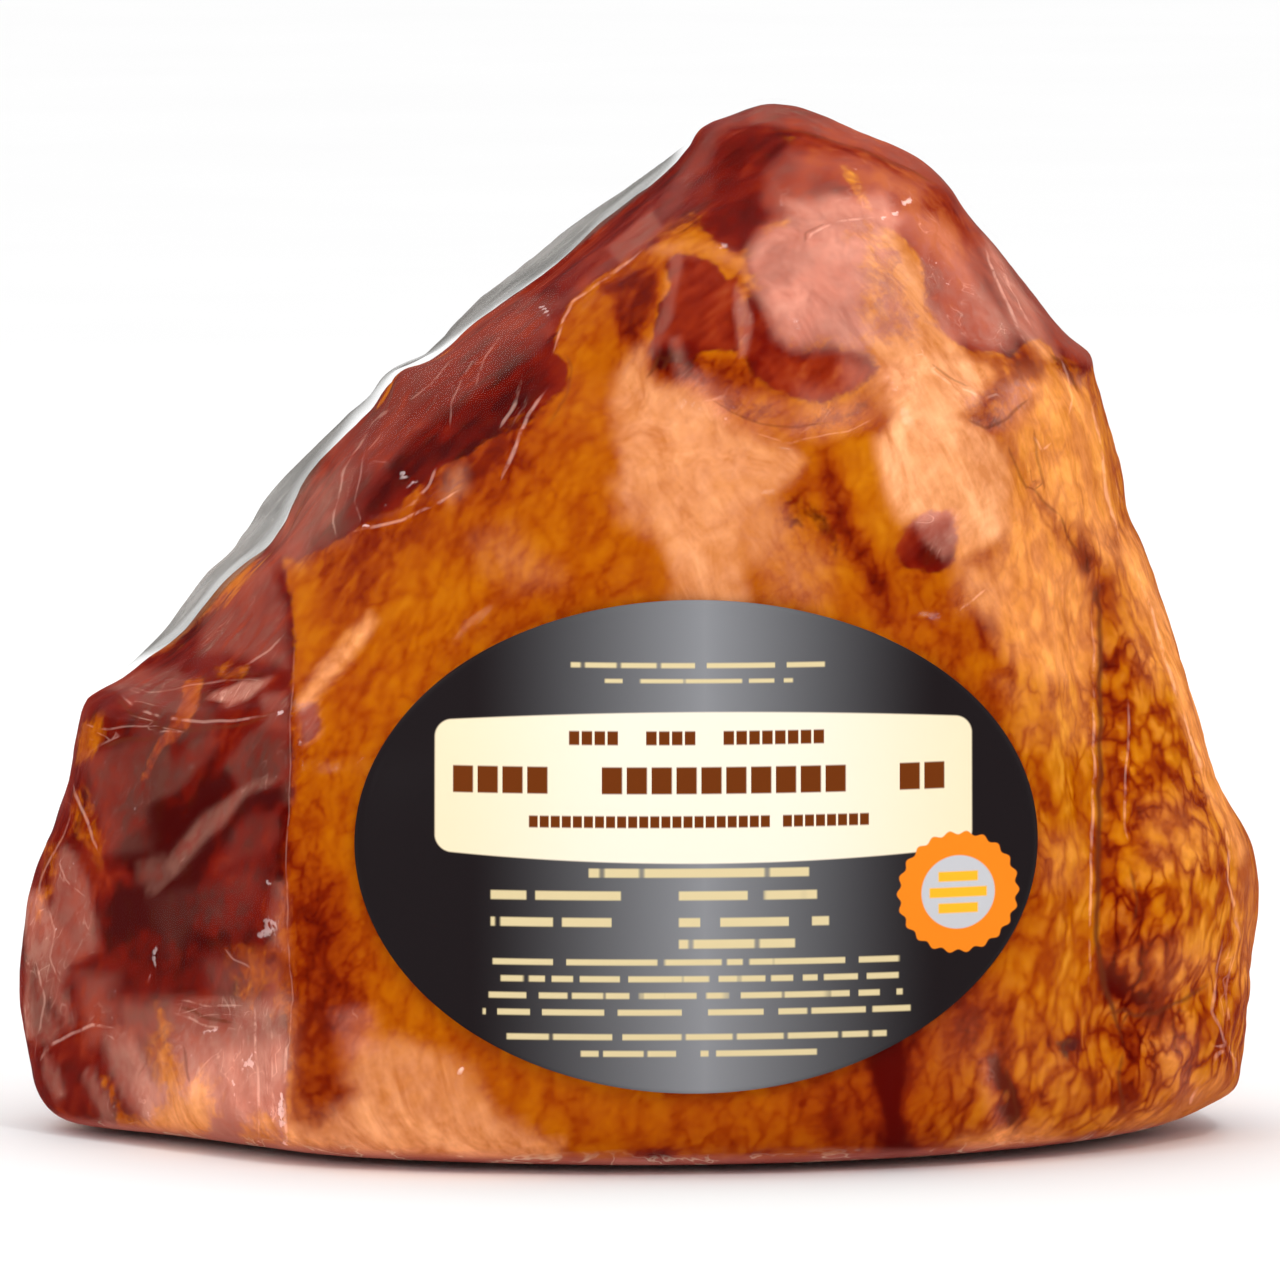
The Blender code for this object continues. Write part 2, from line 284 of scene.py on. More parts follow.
def node_tree_of(name):
    """A ray-castable copy of a node's mesh."""
    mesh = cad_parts[name].data
    faces = [tuple(p.vertices) for p in mesh.polygons]
    return BVHTree.FromPolygons([v.co.copy() for v in mesh.vertices], faces)


def ham_grid():
    """Points on the solid ham, row by row, with its facets smoothed and the pinched edge left out."""
    solid = node_tree_of("ham_in_bag")
    elevations = spread(-math.pi / 2, math.pi / 2, ROWS, row_density)
    turns = spread(-math.pi, math.pi, COLUMNS, column_density, closed=True)
    points = np.zeros((ROWS, COLUMNS, 3))
    for i, elevation in enumerate(elevations):
        for j, turn in enumerate(turns):
            level = max(math.cos(elevation), 1e-4)
            way = Vector((level * math.cos(turn), level * math.sin(turn), math.sin(elevation)))
            hit = solid.ray_cast(GRID_CENTRE, way)[0]
            points[i, j] = hit if hit else GRID_CENTRE
    points[..., 0] += pinched_reach(points)
    points = blurred(points, FACET_BLUR, FACET_BLUR)
    points[0] = points[0].mean(axis=0)
    points[-1] = points[-1].mean(axis=0)
    return trim_outline(points)


def trim_outline(points):
    """Moves a few places of the outline to where the photo has them."""
    x, y = photo_place(points)
    for at_x, at_y, reach, right, down in OUTLINE_TOUCHES:
        near = np.exp(-((x - at_x) ** 2 + (y - at_y) ** 2) / reach**2)
        points[..., 0] += right * PIXEL * near
        points[..., 2] -= down * PIXEL * near
    return points


def grid_object(name, points, layers):
    """A closed smooth mesh over the grid, with its layers stored as colours on the points."""
    mesh = bpy.data.meshes.new(name)
    inner = points[1:-1].reshape(-1, 3)
    verts = np.vstack([inner, points[0, :1], points[-1, :1]])
    rows = ROWS - 2
    i, j = np.meshgrid(np.arange(rows - 1), np.arange(COLUMNS), indexing="ij")
    after = (j + 1) % COLUMNS
    below, above = i * COLUMNS, (i + 1) * COLUMNS
    quads = np.stack([below + j, below + after, above + after, above + j], -1)
    faces = quads.reshape(-1, 4).tolist()
    foot, tip = len(inner), len(inner) + 1
    last = (rows - 1) * COLUMNS
    for k in range(COLUMNS):
        faces.append((foot, (k + 1) % COLUMNS, k))
        faces.append((tip, last + k, last + (k + 1) % COLUMNS))
    mesh.from_pydata(verts.tolist(), [], faces)
    for layer_name, channels in layers.items():
        stack = [np.concatenate([c[1:-1].ravel(), c[0, :1], c[-1, :1]]) for c in channels]
        while len(stack) < 4:
            stack.append(np.ones(len(verts)))
        attribute = mesh.attributes.new(layer_name, "FLOAT_COLOR", "POINT")
        attribute.data.foreach_set("color", np.stack(stack, -1).astype(np.float32).ravel())
    mesh.shade_smooth()
    made = bpy.data.objects.new(name, mesh)
    bpy.context.scene.collection.objects.link(made)
    return made


# What the photo shows on the front, in pixels of its frame. A region is its outline, the softness of its
# edge and its amount.

# The film's crease that runs down the front left, from the pinched edge to the foot
CREASE = [
    (276, 519), (288, 570), (293, 640), (289, 710), (286, 800), (284, 860), (286, 940), (290, 1000),
    (284, 1075), (286, 1160),
]

# Red lean meat that the rind leaves bare, and how lean it is
LEAN_REGIONS = (
    ([(-20, 660), (100, 672), (140, 662), (180, 640), (230, 590), (262, 552), (276, 548), (288, 590),
      (294, 640), (290, 700), (287, 800), (283, 850), (286, 900), (289, 1000), (284, 1030), (286, 1180),
      (-20, 1180)], 8, 1.0),
    ([(262, 556), (240, 500), (278, 490), (344, 425), (386, 375), (407, 350), (452, 330), (518, 280),
      (569, 245), (655, 165), (700, 120), (760, 80), (880, 90), (960, 150), (1010, 225), (1062, 290),
      (1104, 360), (1090, 376), (1062, 350), (1045, 332), (1030, 342), (1015, 354), (1000, 350), (970, 346),
      (945, 330), (930, 305), (930, 270), (922, 250), (905, 235), (880, 226), (850, 222), (815, 228),
      (804, 240), (790, 214), (770, 222), (752, 240), (735, 248), (716, 240), (700, 226), (690, 218),
      (672, 226), (655, 240), (640, 246), (611, 270), (569, 297), (560, 315), (552, 348), (569, 360),
      (566, 384), (530, 414), (491, 435), (470, 450), (440, 462), (398, 504), (359, 525), (330, 545),
      (300, 560), (280, 552)], 8, 1.0),
    ([(664, 265), (672, 255), (690, 250), (715, 262), (725, 280), (735, 275), (742, 300), (738, 330),
      (735, 352), (715, 352), (700, 352), (690, 368), (672, 360), (650, 372), (648, 350), (662, 325),
      (668, 300)], 7, 1.0),
    ([(743, 318), (755, 305), (770, 318), (790, 342), (805, 350), (830, 345), (850, 350), (870, 352),
      (878, 368), (862, 388), (830, 402), (800, 402), (770, 390), (750, 372), (742, 350)], 10, 1.0),
    ([(742, 264), (752, 236), (770, 222), (800, 206), (850, 204), (878, 212), (880, 250), (868, 290),
      (872, 330), (850, 346), (820, 348), (786, 346), (764, 330), (748, 306)], 17, 0.88),
    ([(862, 216), (896, 222), (912, 262), (926, 310), (932, 344), (862, 346)], 26, 0.56),
    ([(654, 300), (672, 288), (678, 340), (648, 356)], 5, 0.9),
    ([(896, 550), (906, 530), (925, 516), (950, 511), (960, 530), (957, 560), (940, 572), (910, 571)], 9,
      1.05),
    ([(790, 490), (815, 488), (830, 510), (848, 555), (836, 560), (812, 524), (790, 530), (778, 518)], 10,
      0.62),
    ([(1052, 1042), (1078, 1036), (1086, 1050), (1066, 1062)], 6, 0.6),
    ([(700, 380), (760, 400), (800, 414), (850, 404), (880, 396), (860, 424), (800, 436), (750, 428),
      (716, 408)], 10, 0.5),
    ([(960, 392), (1000, 380), (1032, 370), (1040, 388), (1022, 420), (1000, 430), (980, 426), (962, 412)],
      10, 0.5),
    ([(1050, 352), (1080, 352), (1098, 390), (1086, 392), (1066, 376)], 7, 0.5),
    ([(300, 745), (296, 702), (316, 700), (320, 730)], 6, 0.8),
)

# Rind that shows through the lean meat, and how lean it stays there
RIND_REGIONS = (
    ([(180, 676), (200, 672), (197, 705), (182, 727), (158, 752), (140, 780), (134, 778), (152, 746),
      (168, 722), (178, 700)], 4, 0.22),
    ([(213, 946), (240, 938), (262, 950), (264, 1000), (246, 1018), (232, 996), (226, 968)], 16, 0.42),
    ([(268, 930), (276, 880), (288, 850), (289, 1010), (268, 1020)], 12, 0.3),
    ([(150, 1000), (160, 998), (164, 1034), (158, 1040)], 5, 0.35),
    ([(150, 1036), (165, 1030), (174, 1060), (182, 1088), (200, 1066), (212, 1090), (210, 1170),
      (130, 1160), (125, 1130), (146, 1112), (160, 1100), (150, 1070), (140, 1050)], 22, 0.2),
    ([(236, 1120), (262, 1110), (280, 1120), (280, 1160), (240, 1160)], 8, 0.4),
    ([(96, 1080), (104, 1076), (113, 1100), (131, 1132), (124, 1140), (112, 1118)], 4, 0.15),
    ([(76, 722), (100, 700), (102, 738), (86, 760), (68, 768)], 8, 0.38),
    ([(66, 792), (80, 780), (100, 830), (106, 862), (96, 880), (80, 852), (64, 832)], 8, 0.5),
    ([(40, 840), (60, 838), (62, 872), (46, 900), (34, 920), (26, 915)], 7, 0.5),
    ([(208, 664), (230, 658), (250, 664), (240, 676), (214, 676)], 6, 0.5),
    ([(292, 560), (330, 540), (356, 540), (340, 560), (300, 576)], 8, 0.4),
    ([(645, 236), (664, 214), (700, 206), (712, 196), (706, 222), (690, 232), (664, 236)], 9, 0.5),
    ([(836, 160), (850, 158), (866, 184), (876, 204), (866, 208), (852, 186)], 7, 0.45),
    ([(776, 130), (796, 130), (800, 150), (784, 156)], 8, 0.6),
    ([(500, 400), (540, 386), (552, 400), (530, 420), (500, 436)], 10, 0.6),
    ([(404, 500), (440, 470), (480, 452), (500, 440), (470, 480), (430, 500), (410, 514)], 8, 0.45),
)

# Painted shine: rind and meat made paler where a broad reflection of the bag is painted in, and how pale it
# is
PAINTED_SHINE_REGIONS = (
    ([(610, 400), (617, 372), (632, 352), (645, 344), (641, 368), (655, 384), (690, 386), (712, 405),
      (735, 428), (760, 442), (790, 450), (806, 462), (792, 482), (770, 494), (748, 506), (738, 530),
      (740, 560), (748, 590), (752, 620), (700, 616), (664, 612), (672, 580), (666, 552), (655, 525),
      (640, 505), (620, 492), (621, 455), (611, 425)], 6, 0.74),
    ([(664, 420), (690, 414), (716, 440), (724, 480), (712, 510), (690, 520), (668, 505), (654, 470)], 20,
      0.74),
    ([(874, 438), (886, 428), (896, 416), (908, 400), (920, 380), (925, 350), (940, 350), (962, 354),
      (990, 362), (1000, 374), (984, 394), (962, 416), (985, 426), (1002, 446), (1016, 470), (1020, 505),
      (1006, 530), (990, 548), (962, 560), (958, 520), (945, 514), (925, 520), (905, 522), (890, 502),
      (880, 470)], 6, 1.3),
    ([(745, 264), (752, 245), (770, 222), (800, 206), (806, 226), (830, 218), (870, 214), (890, 212),
      (902, 235), (914, 262), (930, 290), (938, 312), (952, 332), (962, 348), (940, 356), (926, 350),
      (900, 356), (876, 360), (850, 347), (820, 347), (790, 342), (775, 322), (765, 300), (752, 285)], 7,
      0.98),
    ([(868, 262), (890, 250), (915, 275), (936, 315), (948, 350), (925, 400), (900, 412), (880, 360),
      (866, 310)], 16, 0.76),
    ([(880, 362), (924, 360), (918, 402), (884, 404)], 12, 1.45),
    ([(830, 216), (884, 212), (884, 256), (830, 262)], 11, 1.3),
    ([(770, 290), (812, 286), (816, 326), (780, 330)], 10, 1.35),
    ([(840, 316), (876, 312), (880, 346), (846, 346)], 8, 1.25),
    ([(786, 198), (840, 196), (884, 200), (884, 226), (800, 230)], 7, 0.95),
    ([(960, 560), (1000, 560), (1000, 602), (964, 602)], 12, 0.7),
    ([(844, 358), (884, 364), (884, 396), (848, 396)], 8, 0.4),
    ([(838, 200), (884, 194), (902, 214), (880, 236), (844, 234)], 8, 1.1),
    ([(952, 232), (984, 246), (1006, 290), (1022, 330), (1000, 346), (972, 300)], 10, 0.4),
    ([(266, 504), (300, 468), (344, 468), (332, 520), (300, 562), (274, 556)], 12, 0.4),
    ([(1010, 382), (1040, 370), (1075, 378), (1095, 404), (1108, 450), (1115, 500), (1130, 560),
      (1110, 566), (1085, 532), (1050, 512), (1030, 482), (1015, 442), (1004, 402)], 10, 1.0),
    ([(980, 605), (1000, 570), (1020, 520), (1050, 520), (1075, 550), (1094, 590), (1100, 640), (1096, 690),
      (1060, 690), (1036, 680), (1014, 655), (1002, 635)], 10, 0.94),
    ([(1006, 480), (1040, 490), (1052, 520), (1040, 545), (1010, 540), (1000, 510)], 9, 0.9),
    ([(1000, 680), (1040, 690), (1094, 680), (1098, 740), (1070, 750), (1030, 740)], 10, 0.36),
    ([(1040, 840), (1080, 830), (1084, 890), (1050, 890)], 10, 0.25),
    ([(1116, 540), (1145, 600), (1170, 660), (1162, 690), (1138, 650), (1120, 600)], 9, 0.62),
    ([(1128, 520), (1150, 560), (1172, 620), (1190, 680), (1206, 730), (1228, 790), (1250, 850),
      (1246, 872), (1222, 816), (1204, 770), (1182, 710), (1164, 650), (1142, 600), (1122, 550)], 4, 1.15),
    ([(1236, 880), (1254, 870), (1258, 940), (1246, 1000), (1240, 960)], 5, 0.4),
    ([(800, 388), (850, 392), (890, 372), (900, 390), (870, 410), (840, 430), (800, 430)], 10, 0.3),
    ([(988, 236), (1010, 262), (1044, 316), (1064, 350), (1046, 360), (1020, 326), (998, 284)], 5, 0.75),
    # Painted light along the foot's lower edge, where the floor's shade falls
    ([(200, 1124), (300, 1130), (330, 1150), (330, 1182), (200, 1170)], 6, 1.9),
    ([(960, 1140), (1050, 1128), (1070, 1154), (980, 1176)], 7, 1.3),
    ([(1090, 1130), (1160, 1100), (1230, 1070), (1236, 1100), (1160, 1140)], 8, 0.5),
    ([(1150, 810), (1190, 790), (1218, 820), (1214, 860), (1180, 870), (1150, 860)], 14, 0.42),
    ([(1110, 960), (1150, 950), (1190, 940), (1230, 960), (1190, 990), (1150, 1005)], 12, 0.35),
    ([(1160, 1020), (1190, 1030), (1190, 1080), (1160, 1090)], 14, 0.35),
    ([(346, 1076), (362, 1046), (392, 1040), (420, 1050), (446, 1056), (470, 1070), (480, 1096),
      (486, 1120), (520, 1128), (540, 1146), (552, 1172), (500, 1188), (420, 1184), (370, 1176),
      (335, 1160), (326, 1125), (345, 1105), (365, 1095)], 8, 0.65),
    ([(330, 1110), (380, 1090), (440, 1084), (478, 1104), (500, 1136), (520, 1176), (430, 1190),
      (340, 1170)], 9, 0.8),
    ([(300, 1100), (316, 1110), (326, 1130), (340, 1165), (300, 1165)], 8, 0.25),
    ([(120, 1050), (160, 1030), (200, 1044), (250, 1034), (280, 1010), (284, 1165), (146, 1155),
      (136, 1112), (126, 1080)], 16, 0.6),
    ([(116, 1004), (165, 1000), (172, 1050), (126, 1062)], 9, 0.35),
    ([(205, 965), (282, 955), (282, 1000), (210, 1000)], 8, 0.2),
    ([(236, 1004), (282, 992), (282, 1040), (240, 1044)], 7, 0.32),
    ([(200, 1070), (236, 1056), (280, 1036), (283, 1165), (204, 1156)], 7, 0.74),
    ([(160, 1078), (200, 1078), (208, 1160), (166, 1160)], 7, 1.1),
    ([(366, 612), (375, 620), (347, 660), (320, 690), (300, 708), (295, 702), (310, 680), (336, 645)], 4,
      0.95),
    ([(480, 540), (505, 530), (530, 560), (556, 576), (520, 580), (490, 566)], 14, 0.35),
    ([(612, 480), (640, 498), (646, 530), (620, 520)], 10, 0.5),
    ([(770, 555), (800, 540), (826, 560), (820, 600), (780, 600)], 16, 0.4),
    ([(740, 500), (775, 505), (786, 530), (770, 556), (744, 560)], 14, 0.6),
    ([(990, 352), (1030, 360), (1040, 374), (1000, 380)], 8, 0.3),
    ([(1052, 376), (1084, 382), (1092, 412), (1056, 408)], 8, 1.3),
    ([(300, 1128), (430, 1120), (560, 1146), (560, 1190), (300, 1180)], 7, 1.05),
    ([(145, 1085), (165, 1085), (176, 1160), (140, 1150)], 8, 1.0),
    ([(650, 246), (700, 240), (745, 256), (766, 288), (750, 280), (735, 262), (700, 248), (662, 252)], 6,
      0.45),
    ([(446, 470), (462, 464), (466, 486), (450, 500), (440, 496)], 7, 0.6),
    ([(960, 1020), (1000, 1010), (1090, 1070), (1080, 1130), (1000, 1110), (950, 1060)], 30, 0.14),
)

# Greyish mauve veils of painted sheen, where the bag stands off the lean meat, and how strong they are
SLACK_AND_SHEEN_REGIONS = (
    ([(120, 744), (165, 738), (170, 760), (190, 735), (217, 738), (200, 765), (170, 790), (140, 806),
      (120, 826), (104, 846), (99, 820), (105, 790), (112, 762)], 6, 0.32),
    ([(262, 720), (286, 722), (288, 802), (281, 802), (275, 780), (236, 788), (220, 765), (236, 738)], 6,
      0.3),
    ([(274, 777), (242, 798), (218, 820), (194, 848), (170, 876), (148, 892), (152, 872), (180, 838),
      (204, 812), (230, 792), (256, 779)], 4, 0.75),
    ([(150, 864), (158, 858), (160, 884), (148, 900), (142, 890)], 3, 0.6),
    ([(134, 862), (160, 852), (164, 880), (150, 890), (136, 884)], 5, 0.45),
    ([(225, 828), (250, 812), (273, 815), (277, 836), (262, 850), (235, 860), (216, 870), (222, 850)], 6,
      0.15),
    ([(150, 900), (215, 880), (250, 862), (262, 880), (235, 930), (190, 930), (165, 960)], 12, 0.14),
    ([(60, 845), (72, 856), (84, 886), (92, 920), (93, 950), (80, 962), (66, 966), (60, 990), (69, 1022),
      (66, 1030), (45, 1000), (38, 970), (34, 930), (46, 905)], 5, 0.88),
    ([(120, 690), (200, 676), (212, 730), (140, 750)], 12, 0.26),
    ([(98, 796), (142, 790), (144, 850), (104, 856)], 9, 0.3),
    ([(70, 975), (112, 975), (114, 1044), (84, 1044)], 10, 0.5),
    ([(20, 890), (36, 890), (51, 936), (44, 950), (38, 1040), (22, 1040)], 5, 1.5),
    ([(22, 960), (34, 960), (44, 1010), (60, 1030), (44, 1046), (30, 1030)], 5, 0.7),
    ([(100, 1032), (115, 1025), (128, 1040), (148, 1085), (153, 1120), (130, 1110), (112, 1085),
      (102, 1060)], 5, 1.0),
    ([(40, 1050), (50, 1062), (63, 1098), (52, 1102), (38, 1075)], 4, 0.9),
    ([(80, 1070), (90, 1072), (104, 1100), (119, 1136), (106, 1139), (92, 1110)], 4, 0.9),
    ([(512, 330), (540, 312), (552, 330), (500, 372), (452, 402), (410, 432), (382, 470), (362, 500),
      (350, 545), (318, 545), (314, 500), (340, 452), (390, 398), (450, 354)], 7, 0.22),
    ([(410, 350), (450, 330), (520, 290), (560, 300), (500, 345), (440, 380), (380, 440), (340, 480),
      (330, 440), (370, 400)], 9, 0.34),
    ([(556, 300), (600, 262), (650, 215), (680, 160), (735, 98), (790, 92), (772, 112), (728, 124),
      (698, 165), (680, 200), (655, 215), (620, 260), (580, 290)], 6, 0.3),
    ([(610, 262), (650, 222), (690, 196), (700, 170), (716, 176), (704, 206), (680, 224), (650, 246)], 6,
      0.1),
    ([(196, 650), (212, 600), (240, 566), (262, 552), (280, 600), (286, 664), (240, 655), (215, 648)], 8,
      0.55),
    ([(175, 664), (186, 680), (190, 712), (150, 715), (130, 700), (110, 680), (140, 668)], 6, 0.5),
    ([(766, 170), (790, 150), (830, 150), (870, 160), (930, 180), (925, 200), (880, 206), (840, 208),
      (800, 202), (776, 216), (764, 200)], 10, 0.55),
    ([(886, 210), (915, 204), (940, 216), (962, 250), (986, 290), (1010, 320), (1020, 346), (990, 346),
      (955, 332), (935, 290), (915, 245)], 9, 1.0),
    ([(700, 374), (745, 392), (800, 406), (850, 400), (882, 420), (820, 440), (760, 440), (718, 422)], 10,
      0.5),
    ([(880, 362), (924, 360), (918, 402), (884, 404)], 12, 0.6),
    ([(80, 752), (114, 750), (114, 812), (86, 812)], 8, 0.3),
    ([(168, 1006), (284, 1000), (286, 1130), (240, 1130), (180, 1090)], 14, 0.95),
    ([(258, 690), (284, 690), (286, 730), (262, 726)], 6, 0.6),
    ([(268, 880), (284, 880), (286, 950), (266, 946)], 6, 0.6),
    ([(330, 1010), (372, 1010), (380, 1050), (344, 1060)], 10, 0.8),
    ([(604, 244), (650, 206), (660, 224), (622, 262)], 5, 0.7),
    ([(748, 92), (800, 100), (860, 118), (930, 148), (965, 190), (1005, 250), (1065, 310), (1106, 362),
      (1088, 362), (1050, 322), (1010, 284), (985, 242), (955, 197), (920, 167), (860, 141), (800, 122),
      (750, 118)], 5, 0.6),
    ([(670, 254), (682, 250), (677, 280), (667, 320), (656, 350), (644, 356), (652, 325), (660, 295)], 4,
      0.6),
    ([(734, 284), (745, 290), (752, 320), (746, 354), (738, 358), (736, 320)], 4, 1.1),
    ([(666, 338), (678, 336), (690, 366), (712, 385), (727, 402), (737, 428), (722, 422), (700, 402),
      (678, 380)], 6, 0.9),
    ([(920, 520), (945, 511), (959, 514), (957, 546), (947, 556), (935, 546), (924, 536)], 5, 1.2),
    ([(296, 700), (316, 700), (319, 735), (300, 744)], 4, 0.8),
    ([(960, 392), (1000, 380), (1030, 372), (1040, 390), (1020, 420), (1000, 432), (980, 426)], 12, 0.5),
    ([(984, 1060), (998, 1050), (1000, 1100), (1009, 1150), (997, 1154), (985, 1100)], 6, 0.55),
    ([(1170, 1030), (1200, 1040), (1196, 1100), (1176, 1100)], 12, 0.35),
    ([(206, 694), (222, 686), (240, 677), (269, 675), (262, 683), (245, 695), (225, 703)], 3, 1.7),
    ([(172, 1000), (200, 998), (246, 1004), (240, 1012), (205, 1012)], 4, 0.8),
    ([(196, 1030), (240, 1030), (250, 1060), (246, 1110), (232, 1090), (228, 1056)], 8, 0.8),
)

